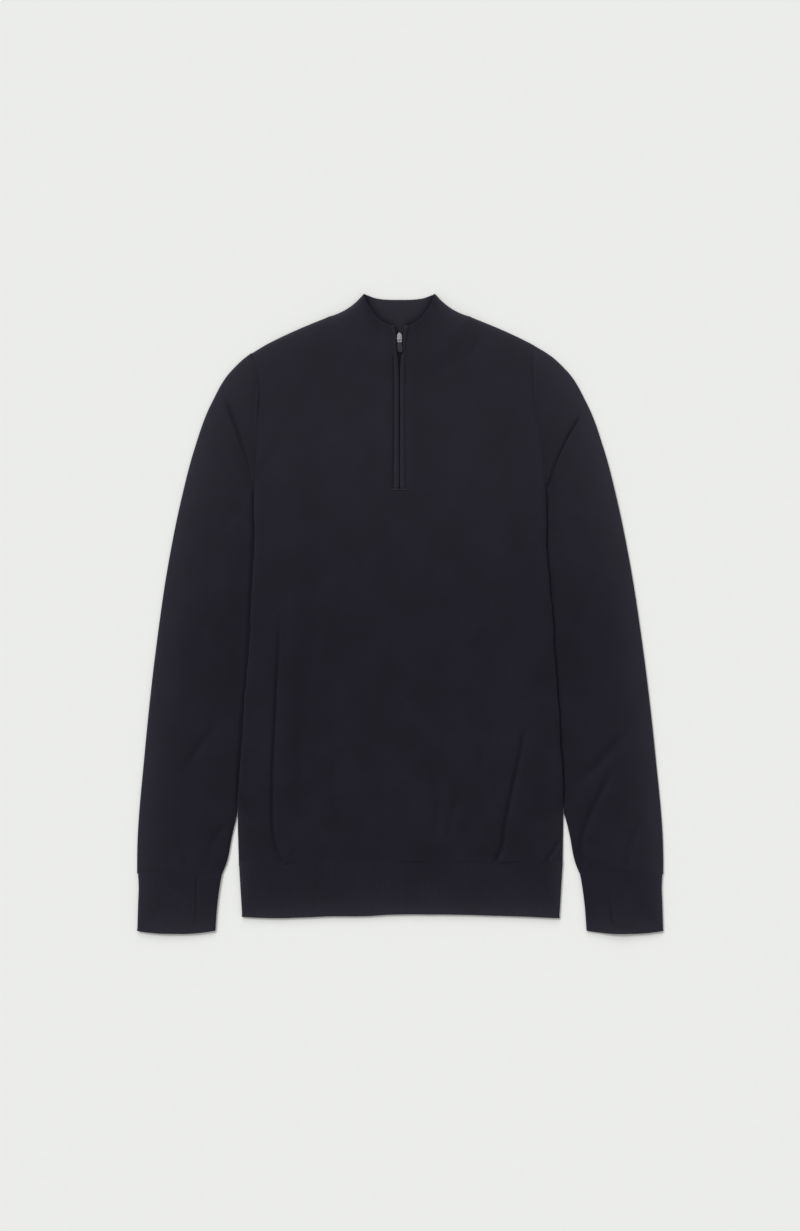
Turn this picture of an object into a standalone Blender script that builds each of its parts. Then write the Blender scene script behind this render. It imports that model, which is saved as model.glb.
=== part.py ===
"""A quarter zip sweater in fine knit, laid flat on its back with its front facing up.

+X is to the right of the sweater as seen from above, +Y runs from the hem to the collar and +Z points up.
The origin is on the surface that the sweater lies on, under the middle of its outline. Every size is in
millimetres and becomes metres where a mesh is made. "left" and "right" are the sides seen from above.

The body lies over the inner edge of both sleeves, so their thickness lifts it along its sides.
"""

from collections import namedtuple

import bmesh
import bpy
import numpy as np

MM = 0.001
SIDES = ("left", "right")

# Thicknesses, and the spaces between pieces.
KNIT = 1.5  # the wall of the plain knit
RIB = 1.8  # the wall of the ribbed hem and cuffs
COLLAR_WALL = 2.4  # the collar is rib, folded double
AIR = 0.4  # between a front layer and the back layer that it lies on
SEAM = 0.3  # between two pieces where they are sewn together
FLAT = 2 * KNIT + AIR  # two layers of plain knit lying on each other
RIB_FLAT = 2 * RIB + AIR
COLLAR_FLAT = 2 * COLLAR_WALL + 1.0

# The outline's driving sizes.
HEM_TOP_Y = -285.0
HEM_END_Y = -348.5
HEM_ARCH = 4.0  # the middle of the hem's edge lies this much higher than its ends
HEM_HALF_TOP, HEM_HALF_END = 185.2, 181.7
CUFF_TOP_Y = -298.0
UNDERARM_Y = 146.0
ARMHOLE_START = 14.0  # over this height above the underarm the side fold becomes a seam
SHOULDER_START = (-3.0, 5.0)  # and over this width past the neck's end the neck's edge does
ZIP_END_Y = 143.8
ZIP_HALF = 7.4  # half the width of the slit that the zip fills
NECK_HALF = 80.5  # from the middle to the point where shoulder and collar meet
NECK_BASE_Y = 295.6  # where the collar starts beside the zip
SHOULDER_TIP_Y = {"left": 301.6, "right": 309.0}

# How the body is lifted by the sleeves, and how far they reach in under it.
LIFT = 4.4
LIFT_GROWS_Y = (250.0, 120.0)
LIFT_ENDS_Y = (-240.0, -195.0)
LIFT_REACH = (78.0, 46.0)  # inside the side edge: no lift, and full lift
TUCK = 38.0
TUCK_LOW_Y, TUCK_HIGH_Y = -190.0, 120.0
SIDE_GAP = 0.5

# What raises the front layer over the back layer.
BODY_PUFF = 1.6
PUFF_AT_EDGE = 0.35  # the share of the puff that is left at the side edge
PUFF_REACH = 45.0
ZIP_RISE = 1.4
ZIP_RISE_X = (30.0, 15.0)
ZIP_RISE_Y = (118.0, ZIP_END_Y)
NECK_RISE = 2.4
NECK_RISE_REACH = 34.0
NECK_RISE_X = (NECK_HALF + 30, NECK_HALF - 10)
SLEEVE_PUFF = 0.8

Edge = namedtuple("Edge", "y left right")
# Half widths of the body: up the side to the underarm, then up the armhole to the shoulder's tip.
BODY_EDGE = [
    Edge(-285.0, 185.6, 185.6),
    Edge(-228.0, 187.5, 188.5),
    Edge(-175.0, 185.0, 188.0),
    Edge(-113.0, 180.5, 184.3),
    Edge(-38.0, 175.2, 180.0),
    Edge(33.0, 171.5, 174.7),
    Edge(88.5, 167.0, 170.0),
    Edge(146.0, 168.0, 169.6),
    Edge(200.0, 164.0, 161.5),
    Edge(240.0, 162.5, 155.5),
    Edge(275.0, 162.3, 153.5),
    Edge(309.0, 167.0, 154.0),
]

Point = namedtuple("Point", "x y")
SHOULDER = [
    Point(80.5, 340.3),
    Point(96.0, 335.0),
    Point(118.0, 326.6),
    Point(138.0, 317.4),
    Point(156.0, 308.2),
    Point(170.0, 299.5),
]
# The seams where the collar starts, in front and behind.
NECK_FRONT = [
    Point(ZIP_HALF, NECK_BASE_Y),
    Point(23.0, 298.5),
    Point(42.0, 306.0),
    Point(60.0, 318.0),
    Point(72.0, 330.0),
    Point(80.5, 340.3),
]
NECK_BACK = [Point(0.0, 314.0), Point(25.0, 316.5), Point(50.0, 324.0), Point(80.5, 340.3)]

# The outer fold of a sleeve, and its inner fold where it lies clear of the body.
SLEEVE_OUTER = [
    Point(154.0, 309.0),
    Point(170.8, 299.0),
    Point(191.5, 280.6),
    Point(214.5, 243.8),
    Point(235.2, 188.6),
    Point(249.6, 133.4),
    Point(264.5, 60.0),
    Point(279.5, -41.4),
    Point(292.7, -161.0),
    Point(301.3, -271.4),
    Point(301.5, -298.0),
]
SLEEVE_INNER = [
    Point(188.9, -228.0),
    Point(194.9, -253.0),
    Point(203.0, -289.8),
    Point(206.5, -298.0),
]

Ring = namedtuple("Ring", "outer_y drop inner_y cap seat follow bow")
# The rings of a sleeve, from the armhole to the cuff. They fan out round the underarm and then lie level.
# outer_y is the height on the outer fold, and drop is how far below it the ring meets that fold.
# cap is 1 on the cap, which folds over the sleeve below it. seat is the share of the body's lift that the
# underside still has, follow is how far the ring follows the armhole's curve, and bow bends it inwards.
RINGS = [
    Ring("tip", 0, 146.0, 1, 1.0, 1.0, 0.0),
    Ring("upper", 0, 143.8, 1, 0.8, 0.5, 1.5),
    Ring("lower", 0, 141.4, 1, 0.5, 0.15, 3.5),
    Ring("crease", 0, 138.8, 1, 0.2, 0.0, 5.0),
    Ring("crease", 3, 135.8, 0, 0.0, 0.0, 5.0),
    Ring("crease", 28, 131.0, 0, 0.0, 0.0, 3.0),
    Ring("crease", 62, 125.0, 0, 0.0, 0.0, 1.0),
    Ring("level", -142, 117.0, 0, 0.0, 0.0, 0.0),
    Ring("level", -102, 100.0, 0, 0.0, 0.0, 0.0),
]
CAP_REACH = 0.4  # the outer share of a ring over which it leaves the outer fold for the armhole
FOLD_LIP = 0.35  # the inner fold's last column over its turn, as a share of the turn's radius
LEVEL_RINGS = 8  # those between the last of the table and the cuff
LEVEL_FROM, LEVEL_TO = 60.0, -270.0
FAN_Y = {
    "left": {"tip": 301.6, "upper": 289.0, "lower": 276.0, "crease": 262.0, "level": 0.0},
    "right": {"tip": 309.0, "upper": 288.0, "lower": 265.0, "crease": 241.0, "level": 0.0},
}

Cuff = namedtuple("Cuff", "y inner outer")
CUFF = [
    Cuff(-298.3, 207.0, 300.4),
    Cuff(-312.0, 209.4, 299.7),
    Cuff(-335.0, 212.4, 300.4),
    Cuff(-366.9, 214.8, 301.3),
]

Fold = namedtuple("Fold", "y left right left_depth right_depth")
# The body's two long folds: their distances from the middle and their depths.
FOLDS = [
    Fold(-285, 138, 116, 1.3, 1.4),
    Fold(-255, 146, 121, 1.4, 1.4),
    Fold(-175, 147, 138, 1.2, 1.1),
    Fold(-100, 143, 149, 0.8, 0.2),
    Fold(0, 137, 149, 0.1, 0.0),
    Fold(300, 118, 118, 0.0, 0.0),
]
FOLD_HALF = 5.0

Rim = namedtuple("Rim", "inside rise")
# How a panel rounds over to its seam: the share of its height that is left this far inside its edge.
RIM = [Rim(2.0, 1.0), Rim(0.7, 0.8), Rim(0.03, 0.4), Rim(0.0, 0.0)]

# How finely the cloth is divided.
HEM_COLUMNS = [30.0, 65.0, 100.0, 140.0]  # the hem's columns past its rim, in from each side
LOWER_ROWS = 12  # from the hem to the zip's lower end
UPPER_ROWS = (0.125, 0.25, 0.375, 0.5, 0.625, 0.75, 0.875)  # from there to the shoulder and the neck
NECK_COLUMNS = np.linspace(ZIP_HALF, NECK_HALF, 5)

# The collar's top edge, from the zip to the fold at its corner, and from that fold to the middle behind.
COLLAR_CORNER = Point(42.0, 366.9)
COLLAR_TOP_FRONT = [
    Point(11.4, 331.6),
    Point(19.0, 335.5),
    Point(28.6, 344.8),
    Point(36.5, 356.8),
    COLLAR_CORNER,
]
COLLAR_TOP_BACK = [Point(ZIP_HALF, 360.2), Point(16.0, 360.9), Point(29.0, 362.9), COLLAR_CORNER]
COLLAR_ROWS = (0.0, 0.33, 0.66, 1.0)
COLLAR_HOLLOW = 3.3  # how far the line of each fold of the collar bends in from straight
COLLAR_ROUND = 8.0  # how far inside its fold the collar's front reaches its full height

Strip = namedtuple("Strip", "y inner outer")
# The two knitted welts that edge the zip and part above the slider, and the tapes under them.
WELT = [
    Strip(144.1, 0.9, 7.1),
    Strip(262.0, 1.0, 7.1),
    Strip(285.0, 1.6, 7.1),
    Strip(300.0, 2.9, 7.3),
    Strip(311.0, 4.2, 7.8),
    Strip(322.0, 4.6, 9.2),
    Strip(331.2, 5.8, 11.1),
]
TAPE = [
    Strip(146.0, 0.25, 12.0),
    Strip(300.0, 0.25, 12.0),
    Strip(310.0, 0.3, 12.0),
    Strip(319.0, 1.3, 12.0),
    Strip(330.0, 3.6, 12.0),
]
WELT_PROUD = 0.6
WELT_WALL = 2.8
WELT_ROUND = 0.7
TAPE_DROP = 2.8  # from the front layer's top down to the tape's top
TAPE_WALL = 0.7

# The slider, its bail, and the pull that hangs on the bail.
SLIDER_LOW_Y, SLIDER_TOP_Y = 311.6, 323.4
SLIDER_HALF = 3.1
SLIDER_TAIL_HALF = 2.6
SLIDER_WAIST = Point(2.9, 314.0)
SLIDER_SHOULDER_Y = 320.4
POST_REACH = 2.6  # from the slider's top end to the lower face of its post
SLIDER_NOSE_HALF = 0.9
PLATE = 1.4
PLATE_PROUD = 0.5
LOW_PLATE = 0.9
POST_HALF = 0.7
PIN_Y = 315.8
PIN_R = 0.5
PIN_HEIGHT = 1.65  # the pin's axis above the front layer
PIN_PLAY = 0.3
BAIL_HALF = 0.9
BAIL_BAR = 0.9
BAIL_SPAN = 2.6  # from the pin's axis to the outside of each foot
LINK_HALF = 2.7
LINK_BAR = 0.75
LINK_LOW_Y = 311.2
TAB_HALF = 3.0
TAB_WALL = 1.4
TAB_TAPER = 0.5
TAB_END_Y = 300.2
BITE = 0.4  # how deep one shape reaches into another where they become one

KNIT_COLOUR = (0.018, 0.017, 0.027, 1.0)
TAPE_COLOUR = (0.012, 0.012, 0.016, 1.0)
METAL_COLOUR = (0.62, 0.62, 0.64, 1.0)
TAB_COLOUR = (0.05, 0.05, 0.06, 1.0)


def curve(at, value):
    """A smooth function through the given places, level past the first and the last."""
    order = np.argsort(at)
    at = np.array(at, float)[order]
    value = np.array(value, float)[order]
    slope = np.gradient(value, at)

    def read(x):
        x = np.clip(x, at[0], at[-1])
        i = np.clip(np.searchsorted(at, x) - 1, 0, len(at) - 2)
        step = at[i + 1] - at[i]
        t = (x - at[i]) / step
        start = (1 + 2 * t) * (1 - t) ** 2 * value[i] + t * (1 - t) ** 2 * step * slope[i]
        end = t * t * (3 - 2 * t) * value[i + 1] + t * t * (t - 1) * step * slope[i + 1]
        return start + end

    return read


def of_table(table, key, name):
    return curve([getattr(row, key) for row in table], [getattr(row, name) for row in table])


def ease(x, start, end):
    """0 at start, 1 at end and smooth between them."""
    t = np.clip((np.asarray(x, float) - start) / (end - start), 0, 1)
    return t * t * (3 - 2 * t)


def dome(distance, radius):
    """The rise of a round edge: 0 on its rim, 1 at its radius and further in."""
    q = np.clip(distance / radius, 0, 1)
    return np.sqrt(1 - (1 - q) ** 2)


edge_of = {side: of_table(BODY_EDGE, "y", side) for side in SIDES}
fold_x = {side: of_table(FOLDS, "y", side) for side in SIDES}
fold_depth = {side: of_table(FOLDS, "y", side + "_depth") for side in SIDES}
shoulder_y = of_table(SHOULDER, "x", "y")
neck_front_y = of_table(NECK_FRONT, "x", "y")
neck_back_y = of_table(NECK_BACK, "x", "y")
sleeve_outer_x = of_table(SLEEVE_OUTER, "y", "x")
sleeve_inner_x = of_table(SLEEVE_INNER, "y", "x")
welt_inner_x = of_table(WELT, "y", "inner")
welt_outer_x = of_table(WELT, "y", "outer")
tape_inner_x = of_table(TAPE, "y", "inner")
tape_outer_x = of_table(TAPE, "y", "outer")


def lift(x, y, side):
    """How high the sleeve holds the body's back over the surface."""
    grow = ease(y, *LIFT_GROWS_Y) * ease(y, *LIFT_ENDS_Y)
    return LIFT * grow * ease(edge_of[side](y) - x, *LIFT_REACH)


def front_height(x, y, side):
    """The height of the front layer's upper face, x being the distance from the middle."""
    inside = edge_of[side](y) - x
    puff = BODY_PUFF * (PUFF_AT_EDGE + (1 - PUFF_AT_EDGE) * ease(inside, 0, PUFF_REACH))
    below_neck = neck_front_y(x) - y
    neck = NECK_RISE * ease(below_neck, NECK_RISE_REACH, 0) * ease(x, *NECK_RISE_X)
    zip_rise = ZIP_RISE * ease(x, *ZIP_RISE_X) * ease(y, *ZIP_RISE_Y)
    trough = fold_depth[side](y) * ease(np.abs(x - fold_x[side](y)), FOLD_HALF, 0)
    return FLAT + lift(x, y, side) + puff + neck + zip_rise - trough


def zip_height(y):
    return front_height(ZIP_HALF, np.minimum(y, NECK_BASE_Y), "right")


def principled(name, colour, roughness, metallic=0.0):
    material = bpy.data.materials.new(name)
    material.use_nodes = True
    shader = material.node_tree.nodes["Principled BSDF"]
    shader.inputs["Base Color"].default_value = colour
    shader.inputs["Roughness"].default_value = roughness
    shader.inputs["Metallic"].default_value = metallic
    return material


def mirrored(points):
    return points * np.array([-1, 1, 1])


def object_of(name, bm, material=None):
    mesh = bpy.data.meshes.new(name)
    bm.to_mesh(mesh)
    bm.free()
    if material:
        mesh.materials.append(material)
    made = bpy.data.objects.new(name, mesh)
    bpy.context.scene.collection.objects.link(made)
    return made


def grid_faces(points, ring=False, flip=False, skip=()):
    """A surface over rows by columns of points. ring joins the last column to the first, and skip leaves out
    quads, named by row and column."""
    rows, columns = points.shape[:2]
    bm = bmesh.new()
    grid = [[bm.verts.new(point * MM) for point in row] for row in points]
    for r in range(rows - 1):
        for c in range(columns if ring else columns - 1):
            if (r, c) in skip:
                continue
            d = (c + 1) % columns
            corners = [grid[r][c], grid[r][d], grid[r + 1][d], grid[r + 1][c]]
            bm.faces.new(corners[::-1] if flip else corners)
    return bm, grid


def cloth(name, outer, wall, material, ring=False, flip=False, skip=()):
    """A knitted wall that grows inwards from the points on its outer face."""
    bm, _ = grid_faces(outer, ring, flip, skip)
    made = object_of(name, bm, material)
    thicken = made.modifiers.new("wall", "SOLIDIFY")
    thicken.thickness = wall * MM
    thicken.offset = -1
    return made


def bar(name, rings, material, flip=False):
    """A solid bar through rings of points, closed at both ends."""
    bm, grid = grid_faces(rings, True, flip)
    first, last = grid[0][::-1], grid[-1]
    bm.faces.new(first[::-1] if flip else first)
    bm.faces.new(last[::-1] if flip else last)
    return object_of(name, bm, material)


# --- body panels ---


def panel_columns(y, side):
    """Distances from the middle of a body panel's columns at one height."""
    edge = edge_of[side](y)
    fold = fold_x[side](y)
    shares = (NECK_COLUMNS - ZIP_HALF) / (fold_x[side](SHOULDER_TIP_Y[side]) - FOLD_HALF - ZIP_HALF)
    shares = [*shares, (shares[-1] + 1) / 2, 1]
    inner = [ZIP_HALF + share * (fold - FOLD_HALF - ZIP_HALF) for share in shares]
    middle = (fold + FOLD_HALF + edge) / 2
    return np.array([*inner, fold, fold + FOLD_HALF, middle, *[edge - row.inside for row in RIM]])


def panel_half(side, neck_y, height):
    """One half of a body panel, from the middle out to its side and from the hem up to the shoulder."""
    tip_y = SHOULDER_TIP_Y[side]
    lines = []
    for y in np.linspace(HEM_TOP_Y, ZIP_END_Y, LOWER_ROWS):
        x = panel_columns(y, side)
        lines.append((x, np.full(len(x), y), 1.0))
    top_x = panel_columns(tip_y, side)
    top_y = np.where(top_x < NECK_HALF + 0.01, neck_y(top_x), shoulder_y(top_x))
    for share in UPPER_ROWS:
        x = panel_columns(ZIP_END_Y + share * (tip_y - ZIP_END_Y), side)
        lines.append((x, ZIP_END_Y + share * (top_y - RIM[0].inside - ZIP_END_Y), 1.0))
    for row in RIM:
        lines.append((panel_columns(tip_y - row.inside, side), top_y - row.inside, row.rise))
    side_rise = np.ones(len(top_x))
    side_rise[-len(RIM) :] = [row.rise for row in RIM]
    grid = []
    for x, y, top_rise in lines:
        at_side = 1 - ease(y, UNDERARM_Y + ARMHOLE_START, UNDERARM_Y) * (1 - side_rise)
        at_top = 1 - ease(x - NECK_HALF, *SHOULDER_START) * (1 - top_rise)
        z = height(x, y, side, np.minimum(at_side, at_top))
        grid.append(np.stack([x, y, z], axis=-1))
    return np.array(grid)


def front_panel_height(x, y, side, rise):
    seam = lift(x, y, side) + (FLAT + SEAM) / 2
    return seam + (front_height(x, y, side) - seam) * rise


def back_panel_height(x, y, side, rise):
    return lift(x, y, side) + (FLAT - SEAM) / 2 * (1 - rise)


def whole_panel(neck_y, height):
    left, right = (panel_half(side, neck_y, height) for side in SIDES)
    return np.concatenate([mirrored(left)[:, ::-1], right], axis=1)


def make_body(material):
    front = whole_panel(neck_front_y, front_panel_height)
    middle = front.shape[1] // 2
    zip_row = LOWER_ROWS - 1
    for row in front[zip_row:]:
        row[middle, 0] = welt_outer_x(row[middle, 1]) + SEAM
        row[middle - 1, 0] = -row[middle, 0]
    slit = {(row, middle - 1) for row in range(zip_row, len(front) - 1)}
    cloth("front_panel", front, KNIT, material, skip=slit)
    cloth("back_panel", whole_panel(neck_back_y, back_panel_height), KNIT, material, flip=True)


def make_hem(material):
    """The hem's front and back ribs, which meet along the sides."""
    half_at = curve([HEM_END_Y, HEM_TOP_Y], [HEM_HALF_END, HEM_HALF_TOP])
    inside = np.array([row.inside for row in RIM[::-1]] + HEM_COLUMNS)
    rise = np.array([row.rise for row in RIM[::-1]] + [1.0] * len(HEM_COLUMNS))
    rise = np.concatenate([rise, rise[::-1]])
    across = np.concatenate([inside / HEM_HALF_END - 1, 1 - inside[::-1] / HEM_HALF_END])
    top = HEM_TOP_Y - SEAM
    end = HEM_END_Y + HEM_ARCH * (1 - across**2)
    for name, up in (("hem_rib_front", 1), ("hem_rib_back", -1)):
        grid = []
        for share in np.linspace(0, 1, 4):
            y = top + share * (end - top)
            z = RIB_FLAT / 2 + up * (SEAM / 2 + (RIB_FLAT - SEAM) / 2 * rise)
            grid.append(np.stack([across * half_at(y), y, z], axis=-1))
        cloth(name, np.array(grid), RIB, material, flip=up > 0)


# --- sleeves and cuffs ---


def inner_fold_x(y, side):
    """Where a sleeve's inner fold lies: in under the body, beside it or clear of it."""
    if y < SLEEVE_INNER[0].y:
        return float(sleeve_inner_x(y))
    inwards = np.sin(np.pi * np.clip((TUCK_HIGH_Y - y) / (TUCK_HIGH_Y - TUCK_LOW_Y), 0, 1))
    return float(edge_of[side](y)) + SIDE_GAP - (TUCK + SIDE_GAP) * inwards


def around(length, roll):
    """Distances from the outer fold to the points round a flattened tube, and the side that each is on:
    1 above, 0 on a fold and -1 below."""
    near = RIM[0].inside
    over = [RIM[1].inside, near, *[near + (length - near) * (1 - share) for share in UPPER_ROWS[::-1]]]
    over += [length - roll * FOLD_LIP]
    under = [length - roll, *np.linspace(length - roll, roll, 5)[1:-1], roll]
    along = np.array([0, *over, length, *under])
    return along, np.array([0, *[1] * len(over), 0, *[-1] * len(under)])


def sleeve_ring(row, side):
    outer_y = FAN_Y[side][row.outer_y] - row.drop
    outer = np.array([sleeve_outer_x(outer_y), outer_y])
    inner = np.array([inner_fold_x(row.inner_y, side), row.inner_y])
    length = np.hypot(*(inner - outer))
    along, above = around(length, FLAT / 2)
    x, y = (outer + (inner - outer) * (along / length)[:, None]).T
    edge = edge_of[side](y)
    from_fold = np.minimum(along, length - along)
    rise = dome(from_fold, FLAT / 2)
    near_fold = 1 - dome(from_fold, 1.5 * FLAT)
    seam = SEAM + KNIT * near_fold  # wider where the wall turns
    follow = 1.0 if row.follow == 1 else row.follow * ease(along / length, 0, CAP_REACH)
    x = x + follow * (edge + seam - x) - row.bow * np.sin(np.pi * along / length)
    on_body = np.minimum(x, edge)
    puff = SLEEVE_PUFF * np.sin(np.pi * along / length)
    top = front_height(on_body, y, side) if row.cap else FLAT + puff
    low = lift(on_body, y, side) * row.seat
    middle = low + FLAT / 2
    z = np.where(above > 0, middle + (top - middle) * rise, np.where(above < 0, low, middle))
    return np.stack([x, y, z], axis=-1)


def make_sleeve(side, material):
    level = [Ring("level", -y, y, 0, 0, 0, 0) for y in np.linspace(LEVEL_FROM, LEVEL_TO, LEVEL_RINGS)]
    last = Ring("level", -CUFF_TOP_Y, CUFF_TOP_Y, 0, 0, 0, 0)
    rings = np.array([sleeve_ring(row, side) for row in [*RINGS, *level, last]])
    left = side == "left"
    cloth(f"sleeve_{side}", mirrored(rings) if left else rings, KNIT, material, ring=True, flip=left)


def make_cuff(side, material):
    rings = []
    for row in CUFF:
        along, above = around(row.outer - row.inner, RIB_FLAT / 2)
        rise = dome(np.minimum(along, row.outer - row.inner - along), RIB_FLAT / 2)
        z = RIB_FLAT / 2 * np.where(above > 0, 1 + rise, np.where(above < 0, 0, 1))
        rings.append(np.stack([row.outer - along, np.full(len(along), row.y), z], axis=-1))
    left = side == "left"
    rings = mirrored(np.array(rings)) if left else np.array(rings)
    cloth(f"cuff_{side}", rings, RIB, material, ring=True, flip=left)


# --- collar ---


def path(table, share):
    """Points at these shares of the length of a smooth line through the table's points."""
    points = np.array(table, float)
    along = np.concatenate([[0], np.cumsum(np.hypot(*np.diff(points, axis=0).T))])
    place = np.asarray(share) * along[-1]
    return np.stack([curve(along, points[:, 0])(place), curve(along, points[:, 1])(place)], axis=-1)


def collar_side(base_y, top_table, columns, rise):
    """Points on one side of the collar, from the middle to its fold, at this share of its height."""
    base = np.stack([columns, base_y(columns)], axis=-1)
    lengths = np.concatenate([[0], np.cumsum(np.hypot(*np.diff(base, axis=0).T))])
    top = path(top_table, lengths / lengths[-1])
    step = top - base
    start = SEAM * step / np.hypot(*step.T)[:, None]
    points = base + start + (step - start) * rise
    hollow = COLLAR_HOLLOW * 27 / 4 * rise**2 * (1 - rise) * (lengths / lengths[-1]) ** 3
    across = np.array([step[-1][1], -step[-1][0]]) / np.hypot(*step[-1])
    return points - hollow[:, None] * across


def collar_half(rise):
    """The right half of one line round the collar: its front, its fold and its back."""
    front = collar_side(neck_front_y, COLLAR_TOP_FRONT, NECK_COLUMNS, rise)
    front[0, 0] = welt_outer_x(front[0, 1]) + SEAM
    back = collar_side(neck_back_y, COLLAR_TOP_BACK, NECK_COLUMNS, rise)
    fold = front[-1]
    half = COLLAR_FLAT / 2
    points = []
    for x, y in front[:-1]:
        height = float(front_height(x, neck_front_y(x), "right"))
        rounding = dome(np.hypot(x - fold[0], y - fold[1]), COLLAR_ROUND)
        points.append((x, y, half + (height - half) * rounding))
    for turn in np.radians([60, 30, 0, -30, -60, -90]):
        inwards = (front if turn > 0 else back)[-2] - fold
        x, y = fold + inwards / np.hypot(*inwards) * half * (1 - np.cos(turn))
        points.append((x, y, half + half * np.sin(turn)))
    points += [(x, y, 0.0) for x, y in back[-2::-1]]
    return np.array(points)


def make_collar(material):
    rows = []
    for rise in COLLAR_ROWS:
        right = collar_half(rise)
        rows.append(np.concatenate([right, mirrored(right)[::-1]]))
    cloth("collar", np.array(rows), COLLAR_WALL, material)


# --- zip ---


def zip_rows(start, end):
    """Heights for the rows of a strip along the zip, where the body and the collar have rows too."""
    body = [ZIP_END_Y + share * (NECK_BASE_Y - RIM[0].inside - ZIP_END_Y) for share in UPPER_ROWS]
    collar = [NECK_BASE_Y + share * (COLLAR_TOP_FRONT[0].y - NECK_BASE_Y) for share in COLLAR_ROWS]
    return [start, *[y for y in [*body, *collar] if start < y < end], end]


def make_strip(name, side, table, inner_x, outer_x, proud, wall, edge, material):
    """A strip along the zip with rounded edges. proud is its top's height over the front layer."""
    rings = []
    for y in zip_rows(table[0].y, table[-1].y):
        x0, x1, top = inner_x(y), outer_x(y), zip_height(y) + proud
        section = [(x0, top - edge), (x0 + edge, top), (x1 - edge, top), (x1, top - edge)]
        section += [(x1, top - wall), (x0, top - wall)]
        rings.append([(x, y, z) for x, z in section])
    left = side == "left"
    rings = mirrored(np.array(rings)) if left else np.array(rings)
    bar(name, rings, material, flip=left)


def make_zip(knit, tape):
    for side in SIDES:
        welt = (WELT, welt_inner_x, welt_outer_x, WELT_PROUD, WELT_WALL, WELT_ROUND)
        make_strip(f"zip_welt_{side}", side, *welt, knit)
        under = (TAPE, tape_inner_x, tape_outer_x, -TAPE_DROP, TAPE_WALL, 0.1)
        make_strip(f"zip_tape_{side}", side, *under, tape)


def prism(name, outline, low, high, material=None):
    """An upright prism on an outline of (x, y) points, anticlockwise as seen from above."""
    rings = np.array([[(x, y, z) for x, y in outline] for z in (low, high)])
    return bar(name, rings, material)


def rectangle(x_half, y0, y1):
    return [(-x_half, y0), (x_half, y0), (x_half, y1), (-x_half, y1)]


def guide(helper):
    helper.hide_render = True
    helper.display_type = "WIRE"
    return helper


def combine(made, helper, operation):
    modifier = made.modifiers.new(helper.name, "BOOLEAN")
    modifier.operation = operation
    modifier.solver = "EXACT"
    modifier.object = guide(helper)


def soften(made, width):
    bevel = made.modifiers.new("soft edges", "BEVEL")
    bevel.width = width * MM
    bevel.limit_method = "ANGLE"


def make_slider(material):
    """The top plate, the post between the tapes, the plate under them and the bail."""
    front = float(zip_height(SLIDER_TOP_Y))
    top = front + PLATE_PROUD
    right = [Point(SLIDER_TAIL_HALF, SLIDER_LOW_Y), SLIDER_WAIST, Point(SLIDER_HALF, SLIDER_SHOULDER_Y)]
    right.append(Point(SLIDER_NOSE_HALF, SLIDER_TOP_Y))
    outline = right + [(-x, y) for x, y in right[::-1]]
    slider = prism("zip_slider", outline, top - PLATE, top, material)
    low_top = front - TAPE_DROP - TAPE_WALL - SEAM
    bridge = front + PIN_HEIGHT + PIN_R + PIN_PLAY
    post = rectangle(POST_HALF, SLIDER_TOP_Y - POST_REACH, SLIDER_TOP_Y - BITE)
    span = rectangle(BAIL_HALF, PIN_Y - BAIL_SPAN, PIN_Y + BAIL_SPAN)
    low_foot = rectangle(BAIL_HALF, PIN_Y - BAIL_SPAN, PIN_Y - BAIL_SPAN + BAIL_BAR)
    high_foot = rectangle(BAIL_HALF, PIN_Y + BAIL_SPAN - BAIL_BAR, PIN_Y + BAIL_SPAN)
    for helper in (
        prism("slider_low_plate", outline, low_top - LOW_PLATE, low_top),
        prism("slider_post", post, low_top - BITE, top - BITE),
        prism("slider_bridge", span, bridge, bridge + BAIL_BAR),
        prism("slider_low_foot", low_foot, top - BITE, bridge + BITE),
        prism("slider_high_foot", high_foot, top - BITE, bridge + BITE),
    ):
        combine(slider, helper, "UNION")


def make_pull(metal, dark):
    """The link, whose upper bar is the pin under the bail, and the tab moulded on to it. Both turn about the
    pin, so their origins lie on its axis."""
    axis = bpy.data.objects.new("pull_axis", None)
    axis.location = (0, PIN_Y * MM, (float(zip_height(SLIDER_TOP_Y)) + PIN_HEIGHT) * MM)
    bpy.context.scene.collection.objects.link(axis)
    low = LINK_LOW_Y - PIN_Y
    link = prism("zip_pull_link", rectangle(LINK_HALF, low, PIN_R), -PIN_R, PIN_R, metal)
    hole = rectangle(LINK_HALF - 2 * PIN_R, low + LINK_BAR, -PIN_R)
    hole = prism("link_hole", hole, -2 * PIN_R, 2 * PIN_R)
    combine(link, hole, "DIFFERENCE")
    soften(link, 0.2)
    end = TAB_END_Y - PIN_Y
    top = low - SEAM
    turns = np.linspace(-np.pi, 0, 9)
    outline = [(TAB_HALF * np.cos(a), end + TAB_HALF * (1 + np.sin(a))) for a in turns]
    outline += [(TAB_HALF - TAB_TAPER, top), (TAB_TAPER - TAB_HALF, top)]
    tab = prism("zip_pull_tab", outline, -TAB_WALL / 2, TAB_WALL / 2, dark)
    soften(tab, 0.25)
    for piece in (link, hole, tab):
        piece.parent = axis


def main():
    for old in list(bpy.data.objects):
        bpy.data.objects.remove(old)
    knit = principled("navy knit", KNIT_COLOUR, 0.95)
    rib = principled("navy rib", KNIT_COLOUR, 0.95)
    tape = principled("zip tape", TAPE_COLOUR, 0.85)
    metal = principled("slider metal", METAL_COLOUR, 0.3, 1.0)
    dark = principled("pull tab", TAB_COLOUR, 0.5)
    make_body(knit)
    make_hem(rib)
    for side in SIDES:
        make_sleeve(side, knit)
        make_cuff(side, rib)
    make_collar(rib)
    make_zip(knit, tape)
    make_slider(metal)
    make_pull(metal, dark)


main()
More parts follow.
